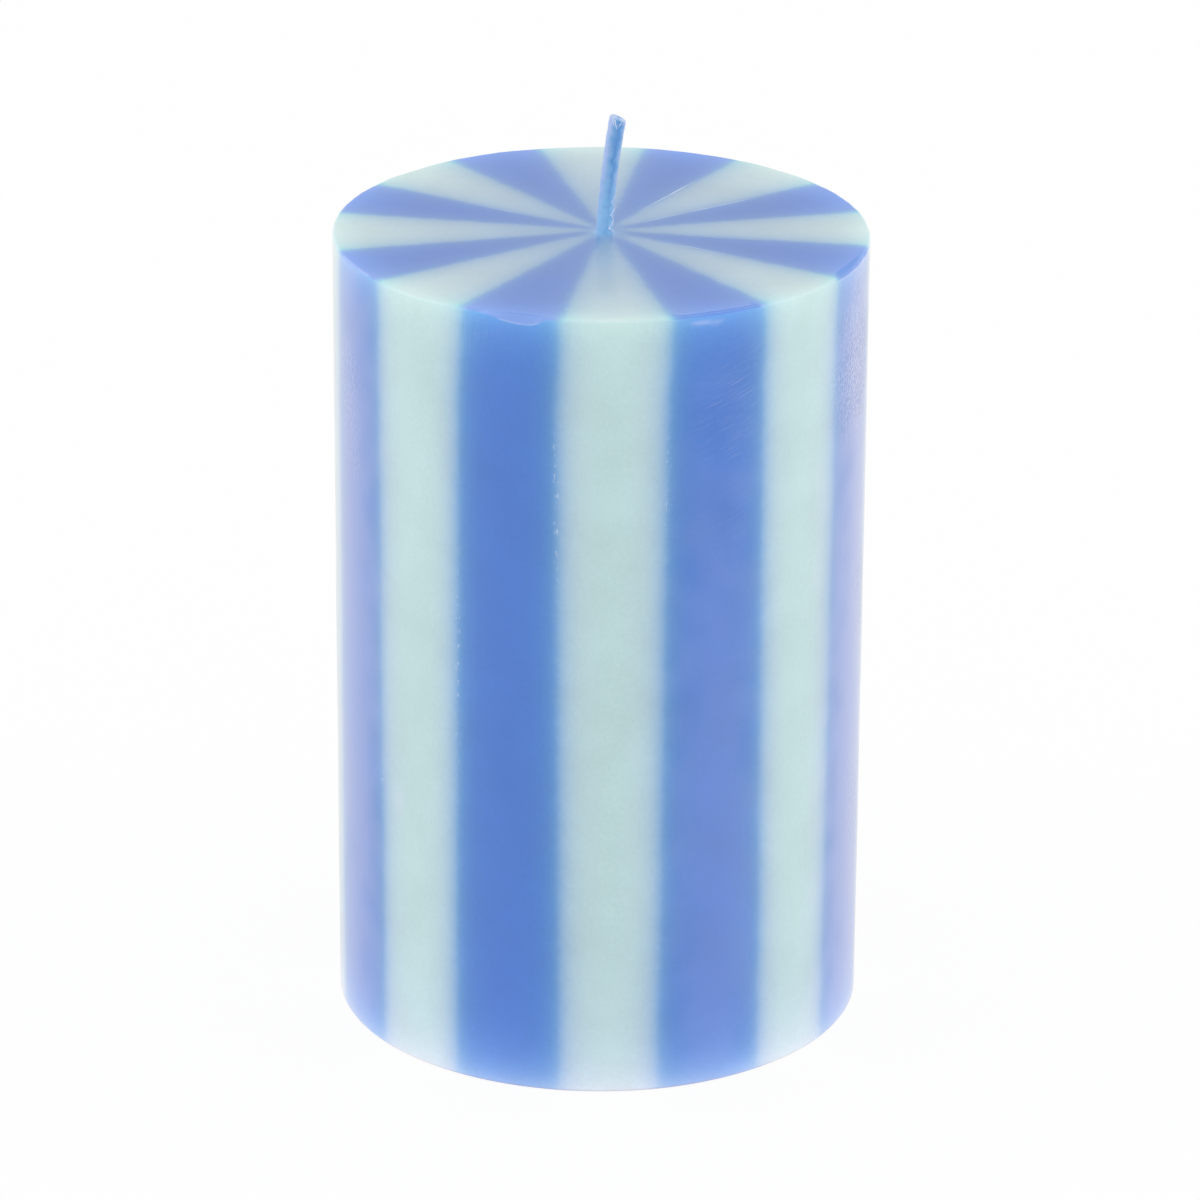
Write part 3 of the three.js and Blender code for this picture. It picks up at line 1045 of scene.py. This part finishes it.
# %% Colour of the dyed wax
def dyed_colour(tree, share, distance, finish):
    """Node for the colour of the wax: deep inside, and paler towards the rim and the base."""
    mint, blue = linear(MINT_DYED), linear(BLUE_DYED)
    ratio = [b / m for b, m in zip(blue, mint)]
    deep = add_node(tree, "ShaderNodeVectorMath", {0: ratio, 1: share}, operation="POWER")
    deep = add_node(tree, "ShaderNodeVectorMath", {0: deep, 1: mint}, operation="MULTIPLY")
    in_blue = add_node(tree, "ShaderNodeMapRange", {
        "Value": distance["into_blue"], "From Min": -1.0, "From Max": 1.0,
    }, interpolation_type="SMOOTHSTEP")
    rim_pale = add_node(tree, "ShaderNodeMix", {
        "Factor": in_blue, "A": finish["mint_rim_pale"], "B": finish["blue_rim_pale"],
    }, data_type="VECTOR")

    # Light near an edge takes a shorter way through the dye, and the colour is a power of the way
    way = (1, 1, 1)
    for key, reach, pale, further in (
        ("from_rim", finish["rim_reach"], rim_pale, (1, 1, 1)),
        ("from_base", BASE_PALE_REACH, BASE_PALE, PALE_BY_CHANNEL),
    ):
        near = add_node(tree, "ShaderNodeMath", {0: distance[key], 1: -reach}, operation="DIVIDE")
        near = add_node(tree, "ShaderNodeMath", {0: near}, operation="EXPONENT")
        near = add_node(tree, "ShaderNodeVectorMath", {0: near, 1: further}, operation="POWER")
        spared = add_node(tree, "ShaderNodeVectorMath", {0: near, 1: pale}, operation="MULTIPLY")
        way = add_node(tree, "ShaderNodeVectorMath", {0: way, 1: spared}, operation="SUBTRACT")
    pale = add_node(tree, "ShaderNodeVectorMath", {0: deep, 1: way}, operation="POWER")
    return add_node(tree, "ShaderNodeVectorMath", {
        0: pale, 1: finish["tint"],
    }, operation="MULTIPLY")


print("the base is pale for about", BASE_PALE_REACH, "mm")

# %% [markdown]
# ## What a mark looks like close up
#
# The mesh says where the wax is marked and how strongly. The pattern of each kind is drawn on the
# side laid out flat: grains where the wax has crystallised, slanted scratches where it has rubbed,
# upright streaks where it slid out of the mould, and crumbs along the seams. Each is a noise
# stretched to the size of its grains in millimetres. It adds some white film to the colour, and
# some relief.

# %% Patterns of the marks
PATTERNS = {
    "pitted": {
        "size": (0.4, 0.5), "lean": 0, "detail": 2, "warp": 0.4, "shows": (0.4, 0.62),
        "film": 0.32, "relief": 0.05,
    },
    "scratched": {
        "size": (3.5, 0.17), "lean": 20, "detail": 1, "warp": 0.2, "shows": (0.56, 0.74),
        "film": 0.1, "relief": -0.012,
    },
    "streaked": {
        "size": (0.35, 6), "lean": 0, "detail": 2, "warp": 0, "shows": (0.45, 0.65),
        "film": 0.18, "relief": 0,
    },
    "crumbed": {
        "size": (0.35, 0.9), "lean": 0, "detail": 2, "warp": 0, "shows": (0.58, 0.68),
        "film": 0.4, "relief": 0.03,
    },
}
CRUMBS_BY_SEAM = (0.45, 0.15)
SEAM_HIGHLIGHT_BY_SEAM = (0.12, 0.03)


def drawn_marks(tree, flat, distance):
    """Node for each kind of mark: its own pattern, as strong as the mesh says."""
    marks = {"seam_highlight": distance["seam_highlight"]}
    for mark, look in PATTERNS.items():
        lean = math.radians(look["lean"])
        laid = add_node(tree, "ShaderNodeMapping", {
            "Vector": flat, "Rotation": (0, 0, lean), "Scale": (*look["size"], 1),
        }, vector_type="TEXTURE")
        grain = add_node(tree, "ShaderNodeTexNoise", {
            "Vector": laid, "Scale": 1.0, "Detail": look["detail"], "Distortion": look["warp"],
        })
        low, high = look["shows"]
        grain = add_node(tree, "ShaderNodeMapRange", {
            "Value": grain, "From Min": low, "From Max": high,
        })
        marks[mark] = add_node(tree, "ShaderNodeMath", {
            0: grain, 1: distance[mark],
        }, operation="MULTIPLY")

    # Crumbs and the painted seam highlights sit right on a seam
    off_seam = add_node(tree, "ShaderNodeMath", {0: distance["into_blue"]}, operation="ABSOLUTE")
    for mark, (none_at, full_at) in (("crumbed", CRUMBS_BY_SEAM), ("seam_highlight", SEAM_HIGHLIGHT_BY_SEAM)):
        near = add_node(tree, "ShaderNodeMapRange", {
            "Value": off_seam, "From Min": none_at, "From Max": full_at,
        })
        marks[mark] = add_node(tree, "ShaderNodeMath", {
            0: near, 1: marks[mark],
        }, operation="MULTIPLY")
    return marks


print("patterns, in mm:", {mark: look["size"] for mark, look in PATTERNS.items()})

# %% Dyed paraffin
WAX_IOR = 1.44
CLOUD_SIZE = 7
CRYSTAL_SIZE = 0.5
CRYSTAL_SHARE = 0.35
CRYSTAL_RELIEF = 0.004
CLOUDY_FROM, CLOUDY_TO = 0.94, 1.06
DRAG_LINE = (0.8, 45)
CLEAN_BETWEEN_PITS = 0.8
BLOOM_AND_SHEEN_FILM = 0.18
SEAM_HIGHLIGHT_FILM = 0.7
EDGE_WEAR_AND_HIGHLIGHT_FILM = 0.5
ROUGHNESS_VARIES = 0.06


def wax_material(name, finish):
    """Dyed paraffin with a finish: how its seams blend, and how its surface was left."""
    material, tree = new_material(name)
    place = add_node(tree, "ShaderNodeTexCoord").outputs["Object"]
    distance = {
        key: add_node(tree, "ShaderNodeAttribute", attribute_name=key).outputs["Fac"]
        for key in (*DISTANCES, *MARKS)
    }
    share = share_of_blue(tree, place, distance, finish)
    colour = dyed_colour(tree, share, distance, finish)
    colour = add_node(tree, "ShaderNodeMix", {
        "Factor": distance["by_wick"], "A": colour, "B": paint(WICK_DYE),
    }, data_type="RGBA")

    # The side laid out flat, in mm: across, up
    up = add_node(tree, "ShaderNodeSeparateXYZ", {0: place}).outputs["Z"]
    up = add_node(tree, "ShaderNodeMath", {0: up, 1: MM}, operation="DIVIDE")
    flat = add_node(tree, "ShaderNodeCombineXYZ", {"X": distance["round_side"], "Y": up})
    marks = drawn_marks(tree, flat, distance)

    # Cloudy wax: soft clouds some millimetres across, and crystals of half a millimetre
    clouds = add_node(tree, "ShaderNodeTexNoise", {
        "Vector": place, "Scale": 1 / (CLOUD_SIZE * MM), "Detail": 3.0,
    })
    crystals = add_node(tree, "ShaderNodeTexNoise", {
        "Vector": place, "Scale": 1 / (CRYSTAL_SIZE * MM), "Detail": 2.0,
    })
    cloudy = add_node(tree, "ShaderNodeMix", {"Factor": CRYSTAL_SHARE, "A": clouds, "B": crystals})
    cloudy = add_node(tree, "ShaderNodeMapRange", {
        "Value": cloudy, "From Min": 0.3, "From Max": 0.7,
        "To Min": CLOUDY_FROM, "To Max": CLOUDY_TO,
    })
    colour = add_node(tree, "ShaderNodeVectorMath", {0: colour, 1: cloudy}, operation="MULTIPLY")

    # Clean wax between pits is a deeper colour, and the same deeper colour is painted shade on the
    # step, in its groove and across the right bevel
    clean_or_shade = add_node(tree, "ShaderNodeMath", {
        0: distance["pitted"], 1: marks["pitted"],
    }, operation="SUBTRACT")
    clean_or_shade = add_node(tree, "ShaderNodeMath", {
        0: clean_or_shade, 1: CLEAN_BETWEEN_PITS,
    }, operation="MULTIPLY")
    painted_shade = add_node(tree, "ShaderNodeMath", {
        0: distance["edge_wear_and_light"], 1: 0.0,
    }, operation="MINIMUM")
    clean_or_shade = add_node(tree, "ShaderNodeMath", {0: clean_or_shade, 1: painted_shade}, operation="SUBTRACT")
    clean_or_shade = add_node(tree, "ShaderNodeVectorMath", {0: CLEAN_OR_SHADED_WAX, 1: clean_or_shade}, operation="POWER")
    colour = add_node(tree, "ShaderNodeVectorMath", {0: colour, 1: clean_or_shade}, operation="MULTIPLY")

    # Bloom is the faint white film that wax grows, and it gathers in marks. Its broad patches on the
    # left and right of the side are painted sheen as well. Scuffed edges are whiter, partly as wear
    # and partly as a painted highlight, and the white along seams on the top is a painted highlight
    lit_or_worn_edge = add_node(tree, "ShaderNodeMath", {0: distance["edge_wear_and_light"], 1: 0.0}, operation="MAXIMUM")
    films = {mark: (marks[mark], look["film"]) for mark, look in PATTERNS.items()}
    bloom_and_sheen = ((distance["bloom_and_sheen"], BLOOM_AND_SHEEN_FILM), films.pop("pitted"))
    wear_or_painted_light = (*films.values(), (marks["seam_highlight"], SEAM_HIGHLIGHT_FILM), (lit_or_worn_edge, EDGE_WEAR_AND_HIGHLIGHT_FILM))
    for white, film, sources in ((BLOOM_AND_SHEEN, finish["film"], bloom_and_sheen), (WEAR_AND_HIGHLIGHT, 0.0, wear_or_painted_light)):
        for source, amount in sources:
            film = add_node(tree, "ShaderNodeMath", {
                0: source, 1: amount, 2: film,
            }, operation="MULTIPLY_ADD")
        colour = add_node(tree, "ShaderNodeMix", {
            "Factor": film, "A": colour, "B": paint(white),
        }, data_type="RGBA")

    # Relief: crystals, the lines that the mould dragged up the side, and the marks
    relief = add_node(tree, "ShaderNodeMath", {
        0: crystals, 1: CRYSTAL_RELIEF * MM,
    }, operation="MULTIPLY")
    drag = add_node(tree, "ShaderNodeMapping", {
        "Vector": flat, "Scale": (*DRAG_LINE, 1),
    }, vector_type="TEXTURE")
    drag = add_node(tree, "ShaderNodeTexNoise", {"Vector": drag, "Scale": 1.0, "Detail": 3.0})
    raised = [(drag, finish["drag"])]
    raised += [(marks[mark], look["relief"]) for mark, look in PATTERNS.items()]
    for source, height in raised:
        relief = add_node(tree, "ShaderNodeMath", {
            0: source, 1: height * MM, 2: relief,
        }, operation="MULTIPLY_ADD")
    rough = finish["roughness"]
    rough = add_node(tree, "ShaderNodeMapRange", {
        "Value": clouds, "To Min": rough - ROUGHNESS_VARIES, "To Max": rough + ROUGHNESS_VARIES,
    })
    end_material(tree, relief, {
        "Base Color": colour, "Roughness": rough, "IOR": WAX_IOR,
        "Sheen Weight": finish["sheen"], "Sheen Roughness": 0.45, "Sheen Tint": (1, 0.97, 0.985, 1),
    })
    return material


print("values that the wax reads:", len(DISTANCES) + len(MARKS))

# %% Two finishes
MOULDED = {
    "bleed": 1.5, "carried": 0.9, "mixed_reach": 0.4, "waver": 0.2, "by_channel": (1.3, 1, 2.5),
    "mint_rim_pale": (0.32, 0.56, 0.46), "blue_rim_pale": (0.35, 0.5, 0.8), "rim_reach": 2.8,
    "spread": 0.0, "tint": (1, 1, 1), "film": 0.0, "roughness": 0.42, "sheen": 1.0, "drag": 0.006,
}
TRIMMED = {
    "bleed": 2.55, "carried": 0.68, "mixed_reach": 0.35, "waver": 0.3, "by_channel": (1, 1, 0.9),
    "mint_rim_pale": (0.38, 0.8, 0.66), "blue_rim_pale": (0.33, 0.4, 0.85), "rim_reach": 4.3,
    "spread": 0.6, "tint": (1.08, 0.91, 0.92), "film": 0.02, "roughness": 0.33, "sheen": 0.0,
    "drag": 0.0,
}
TRIMMED_FROM = 0.4

moulded_wax = wax_material("moulded_paraffin", MOULDED)
trimmed_wax = wax_material("trimmed_paraffin", TRIMMED)
for piece in wedges:
    piece.data.materials.append(moulded_wax)
    piece.data.materials.append(trimmed_wax)
    for polygon in piece.data.polygons:
        if abs(polygon.normal.z) > TRIMMED_FROM:
            polygon.material_index = 1
core.data.materials.append(trimmed_wax)
print("materials:", [material.name for material in bpy.data.materials])

# %% [markdown]
# ## Waxed cotton
#
# Cotton yarn soaked in blue wax: a clear blue, lighter near the candle. On the left and along the
# far edge a pale lavender is painted on, the reflection of the light in its wax coat. Fibres of a
# few hundredths of a millimetre run along each strand, drawn coarser here so that they show. The
# wax makes it satin.

# %% Fibres of the cotton
FIBRE = 0.09
FIBRE_LENGTH = 1.5
STRAND_LEAN = math.atan2(math.tau * WICK_RADIUS / STRANDS_EACH_WAY, PLAIT_PITCH)

cotton, tree = new_material("waxed_cotton")
known = {
    key: add_node(tree, "ShaderNodeAttribute", attribute_name=key).outputs["Fac"]
    for key in WICK_MEASURES
}
place = add_node(tree, "ShaderNodeTexCoord").outputs["Object"]
flat = add_node(tree, "ShaderNodeCombineXYZ", {"X": known["wick_round"], "Y": known["wick_up"]})
fibres = []
for lean in (STRAND_LEAN, -STRAND_LEAN):
    laid = add_node(tree, "ShaderNodeMapping", {
        "Vector": flat, "Rotation": (0, 0, lean), "Scale": (FIBRE, FIBRE_LENGTH, 1),
    }, vector_type="TEXTURE")
    fibres.append(add_node(tree, "ShaderNodeTexNoise", {
        "Vector": laid, "Scale": 1.0, "Detail": 2.0,
    }))
fibre = add_node(tree, "ShaderNodeMix", {
    "Factor": known["wick_strand"], "A": fibres[0], "B": fibres[1],
})
print("strands lean by", round(math.degrees(STRAND_LEAN)), "degrees")

# %% Waxed cotton
COTTON_HIGH = "#7AACDE"
COTTON_LOW = "#98CBF2"
# The next colour is the painted reflection on the wax coat
COTTON_REFLECTION = "#B0C3EC"
COTTON_DEEP = "#5A94D4"
FIBRE_CONTRAST = 0.3
FIBRE_RELIEF = 0.02
RAGGED_PATCH = 1.2
RAGGED_SHIFT = 1.1

# The yarn is lighter near the candle, and darker between strands and fibres
low = add_node(tree, "ShaderNodeMapRange", {
    "Value": known["wick_up"], "From Min": 11.0, "From Max": 3.0,
})
yarn = add_node(tree, "ShaderNodeMix", {
    "Factor": low, "A": paint(COTTON_HIGH), "B": paint(COTTON_LOW),
}, data_type="RGBA")
shade = add_node(tree, "ShaderNodeMapRange", {
    "Value": known["wick_swell"], "To Min": 0.97, "To Max": 1.01,
})
shade = add_node(tree, "ShaderNodeMath", {
    0: fibre, 1: FIBRE_CONTRAST, 2: shade,
}, operation="MULTIPLY_ADD")
shade = add_node(tree, "ShaderNodeMath", {0: shade, 1: FIBRE_CONTRAST / 2}, operation="SUBTRACT")
yarn = add_node(tree, "ShaderNodeVectorMath", {0: yarn, 1: shade}, operation="MULTIPLY")

# A deep streak runs up the front, a little right of the middle, with a ragged edge
patches = add_node(tree, "ShaderNodeTexNoise", {
    "Vector": place, "Scale": 1 / (RAGGED_PATCH * MM), "Detail": 2.0,
})
patches = add_node(tree, "ShaderNodeMath", {0: patches, 1: 0.5}, operation="SUBTRACT")
across = add_node(tree, "ShaderNodeMath", {
    0: patches, 1: RAGGED_SHIFT, 2: known["wick_right"],
}, operation="MULTIPLY_ADD")
streak = add_node(tree, "ShaderNodeMath", {0: across, 1: 0.3}, operation="SUBTRACT")
streak = add_node(tree, "ShaderNodeMath", {0: streak}, operation="ABSOLUTE")
streak = add_node(tree, "ShaderNodeMapRange", {"Value": streak, "From Min": 0.4, "From Max": 0.05})
high = add_node(tree, "ShaderNodeMapRange", {
    "Value": known["wick_up"], "From Min": 3.0, "From Max": 10.0, "To Min": 0.2, "To Max": 0.8,
})
streak = add_node(tree, "ShaderNodeMath", {0: streak, 1: high}, operation="MULTIPLY")
yarn = add_node(tree, "ShaderNodeMix", {
    "Factor": streak, "A": yarn, "B": paint(COTTON_DEEP),
}, data_type="RGBA")

# Painted reflection of the light, a pale lavender, on the left and along the far right edge, more
# towards the tip
left = add_node(tree, "ShaderNodeMapRange", {"Value": across, "From Min": -0.2, "From Max": -0.75})
right = add_node(tree, "ShaderNodeMapRange", {"Value": across, "From Min": 0.7, "From Max": 0.95})
thick = add_node(tree, "ShaderNodeMath", {0: left, 1: right}, operation="MAXIMUM")
upper = add_node(tree, "ShaderNodeMapRange", {
    "Value": known["wick_up"], "From Min": 3.0, "From Max": 9.0, "To Min": 0.25, "To Max": 0.9,
})
thick = add_node(tree, "ShaderNodeMath", {0: thick, 1: upper}, operation="MULTIPLY")
yarn_and_reflection = add_node(tree, "ShaderNodeMix", {
    "Factor": thick, "A": yarn, "B": paint(COTTON_REFLECTION),
}, data_type="RGBA")
relief = add_node(tree, "ShaderNodeMath", {0: fibre, 1: FIBRE_RELIEF * MM}, operation="MULTIPLY")
end_material(tree, relief, {
    "Base Color": yarn_and_reflection, "Roughness": 0.38, "IOR": WAX_IOR,
    "Sheen Weight": 0.3, "Sheen Roughness": 0.4, "Sheen Tint": (1, 1, 1, 1),
})
wick.data.materials.append(cotton)
print("cotton nodes:", len(tree.nodes))

# %% [markdown]
# ## Painted highlight and thread ends
#
# The run and the beads are a pale, near white blue: a painted highlight along the plait, and they
# are smooth, so they glint as well. The thread ends are the same cotton, fluffed by the cut, so they
# scatter white.

# %% Small pieces on the wick
SMALL_RELIEF = 0.02

# The run and the beads are a painted highlight; the thread ends are pale cotton
for piece, name, pale, dyed, roughness, grain in (
    (highlight_run, "thin_wax_highlight", "#E0ECFE", "#B4D3F8", 0.2, 0.5),
    (highlight_beads, "bead_highlight", "#DCEAFD", "#B4D3F8", 0.15, 0.3),
    (thread_ends, "cut_thread", "#F1F4FC", "#AFC4E8", 0.6, 0.12),
):
    material, tree = new_material(name)
    place = add_node(tree, "ShaderNodeTexCoord").outputs["Object"]
    cloud = add_node(tree, "ShaderNodeTexNoise", {
        "Vector": place, "Scale": 1 / (grain * MM), "Detail": 2.0,
    })
    share = add_node(tree, "ShaderNodeMapRange", {"Value": cloud, "From Min": 0.3, "From Max": 0.7})
    colour = add_node(tree, "ShaderNodeMix", {
        "Factor": share, "A": paint(pale), "B": paint(dyed),
    }, data_type="RGBA")
    relief = add_node(tree, "ShaderNodeMath", {
        0: cloud, 1: SMALL_RELIEF * MM,
    }, operation="MULTIPLY")
    end_material(tree, relief, {"Base Color": colour, "Roughness": roughness, "IOR": WAX_IOR})
    piece.data.materials.append(material)
    print(name, "nodes:", len(tree.nodes))

# %% [markdown]
# ## Tinned steel
#
# The tab is punched from tinplate: steel sheet with a thin coat of tin. The rolls leave fine
# straight lines in it, and tin dulls in soft patches.

# %% Tinned steel
TIN = "#D6D8DA"
TIN_DULL = "#B4B6B8"
TIN_PATCH = 3.0
ROLL_LINE = 0.12
ROLL_LENGTH = 12
ROLL_RELIEF = 0.004
TIN_ROUGHNESS = 0.18
ROUGHER = 0.15

steel, tree = new_material("tinned_steel")
place = add_node(tree, "ShaderNodeTexCoord").outputs["Object"]
rolled = add_node(tree, "ShaderNodeMapping", {
    "Vector": place, "Scale": (ROLL_LENGTH * MM, ROLL_LINE * MM, ROLL_LENGTH * MM),
}, vector_type="TEXTURE")
rolled = add_node(tree, "ShaderNodeTexNoise", {"Vector": rolled, "Scale": 1.0, "Detail": 3.0})
dull = add_node(tree, "ShaderNodeTexNoise", {
    "Vector": place, "Scale": 1 / (TIN_PATCH * MM), "Detail": 4.0,
})
dull = add_node(tree, "ShaderNodeMapRange", {"Value": dull, "From Min": 0.4, "From Max": 0.7})
colour = add_node(tree, "ShaderNodeMix", {
    "Factor": dull, "A": paint(TIN), "B": paint(TIN_DULL),
}, data_type="RGBA")
rough = TIN_ROUGHNESS
for source in (dull, rolled):
    rough = add_node(tree, "ShaderNodeMath", {
        0: source, 1: ROUGHER, 2: rough,
    }, operation="MULTIPLY_ADD")
relief = add_node(tree, "ShaderNodeMath", {0: rolled, 1: ROLL_RELIEF * MM}, operation="MULTIPLY")
end_material(tree, relief, {"Base Color": colour, "Roughness": rough, "Metallic": 1.0})
tab.data.materials.append(steel)
print("steel nodes:", len(tree.nodes))

# %% [markdown]
# ## The table and the light
#
# The candle stands on white, in soft light from all round. A colour then renders about as it is
# written. The camera and the reflections see plain white; the table keeps a faint shadow. From
# below it is seen through, and it has a round opening that the candle covers, so that the base can
# be looked at.

# %% Table
FLOOR_RADIUS = 2000
FLOOR_OPENING = 31.8
FLOOR_BELOW = 0.05
PAPER = "#F4F4F4"
SHADOW_KEPT = 0.07


def seen_white(tree):
    """1 for rays that see a background: from the camera, reflected or let through."""
    path = add_node(tree, "ShaderNodeLightPath")
    seen = path.outputs["Is Camera Ray"]
    for ray in ("Is Glossy Ray", "Is Transmission Ray"):
        seen = add_node(tree, "ShaderNodeMath", {
            0: seen, 1: path.outputs[ray],
        }, operation="MAXIMUM")
    return seen


mesh = bpy.data.meshes.new("floor")
edges = [point for r in (FLOOR_OPENING, FLOOR_RADIUS) for point in circle((0, 0), r, -FLOOR_BELOW)]
faces = []
for side in range(CORE_SIDES):
    beside = (side + 1) % CORE_SIDES
    faces.append((side, beside, beside + CORE_SIDES, side + CORE_SIDES))
mesh.from_pydata([Vector(point) * MM for point in edges], [], faces)
floor = add_object("floor", mesh)
floor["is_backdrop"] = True

paper, tree = new_material("white_paper")
lit = add_node(tree, "ShaderNodeBsdfDiffuse", {"Color": paint(PAPER)})
white = add_node(tree, "ShaderNodeEmission", {"Color": (1, 1, 1, 1), "Strength": 1.0})
share = add_node(tree, "ShaderNodeMath", {
    0: seen_white(tree), 1: 1 - SHADOW_KEPT,
}, operation="MULTIPLY")
mixed = add_node(tree, "ShaderNodeMixShader", {0: share, 1: lit, 2: white})
below = add_node(tree, "ShaderNodeNewGeometry").outputs["Backfacing"]
clear = add_node(tree, "ShaderNodeBsdfTransparent")
mixed = add_node(tree, "ShaderNodeMixShader", {0: below, 1: mixed, 2: clear})
add_node(tree, "ShaderNodeOutputMaterial", {"Surface": mixed})
floor.data.materials.append(paper)
print("table:", 2 * FLOOR_RADIUS, "mm across, shadow kept:", SHADOW_KEPT)

# %% Light
WORLD_LIGHT = 0.89
LAMP_DISTANCE = 1.1
LAMP_WIDTH = 0.8
LAMP_ELEVATION = math.radians(18)

world = bpy.data.worlds.new("white_surround")
world.use_nodes = True
tree = world.node_tree
tree.nodes.clear()
light = add_node(tree, "ShaderNodeBackground", {"Color": (1, 1, 1, 1), "Strength": WORLD_LIGHT})
backdrop = add_node(tree, "ShaderNodeBackground", {"Color": (1, 1, 1, 1), "Strength": 1.0})
mixed = add_node(tree, "ShaderNodeMixShader", {0: seen_white(tree), 1: light, 2: backdrop})
add_node(tree, "ShaderNodeOutputWorld", {"Surface": mixed})
bpy.context.scene.world = world


def softbox(name, azimuth, brightness):
    """A square lamp that faces the candle. Its brightness is relative to white paper."""
    data = bpy.data.lights.new(name, "AREA")
    data.size = LAMP_WIDTH
    data.energy = brightness * math.pi * LAMP_WIDTH * LAMP_WIDTH
    lamp = add_object(name, data)
    turn, level = math.radians(azimuth), math.cos(LAMP_ELEVATION)
    away = Vector((math.sin(turn) * level, -math.cos(turn) * level, math.sin(LAMP_ELEVATION)))
    lamp.location = Vector((0, 0, BODY_HEIGHT / 2 * MM)) + away * LAMP_DISTANCE
    lamp.rotation_mode = "QUATERNION"
    lamp.rotation_quaternion = away.to_track_quat("Z", "Y")


for name, azimuth, brightness in (
    ("softbox_right", 80, 1.15), ("softbox_left", -80, 1.15), ("softbox_front", 0, 0.12),
    ("softbox_back_right", 135, 0.3), ("softbox_back_left", -135, 0.3),
):
    softbox(name, azimuth, brightness)

# %% [markdown]
# ## Camera
#
# A long lens looks down on the front of the candle. The figures come from fitting the outline of a
# cylinder of the candle's size to its outline in the picture.

# %% Camera
CAMERA_DISTANCE = 0.79341
CAMERA_LENS = 192.5
CAMERA_PITCH = math.radians(22.299)
CAMERA_TILT = math.radians(0.1092)
CAMERA_PAN = math.radians(-0.006)
CAMERA_ROLL = math.radians(0.3182)

aim = Vector((0, 0, BODY_HEIGHT / 2 * MM))
back = Vector((0, -math.cos(CAMERA_PITCH), math.sin(CAMERA_PITCH)))
camera_data = bpy.data.cameras.new("camera")
camera_data.lens = CAMERA_LENS
camera_data.sensor_width = 36
camera_data.clip_start = 0.01
camera_data.clip_end = 50
camera = add_object("camera", camera_data)
camera.location = aim + back * CAMERA_DISTANCE
camera.rotation_mode = "QUATERNION"
tilt = Quaternion((1, 0, 0), CAMERA_TILT)
pan = Quaternion((0, 1, 0), CAMERA_PAN)
roll = Quaternion((0, 0, 1), CAMERA_ROLL)
camera.rotation_quaternion = back.to_track_quat("Z", "Y") @ tilt @ pan @ roll
bpy.context.scene.camera = camera
bpy.context.scene.view_settings.view_transform = "Standard"
print("camera at", [round(value, 3) for value in camera.location], "m")

# %% Overall size, and the end
low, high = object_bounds()
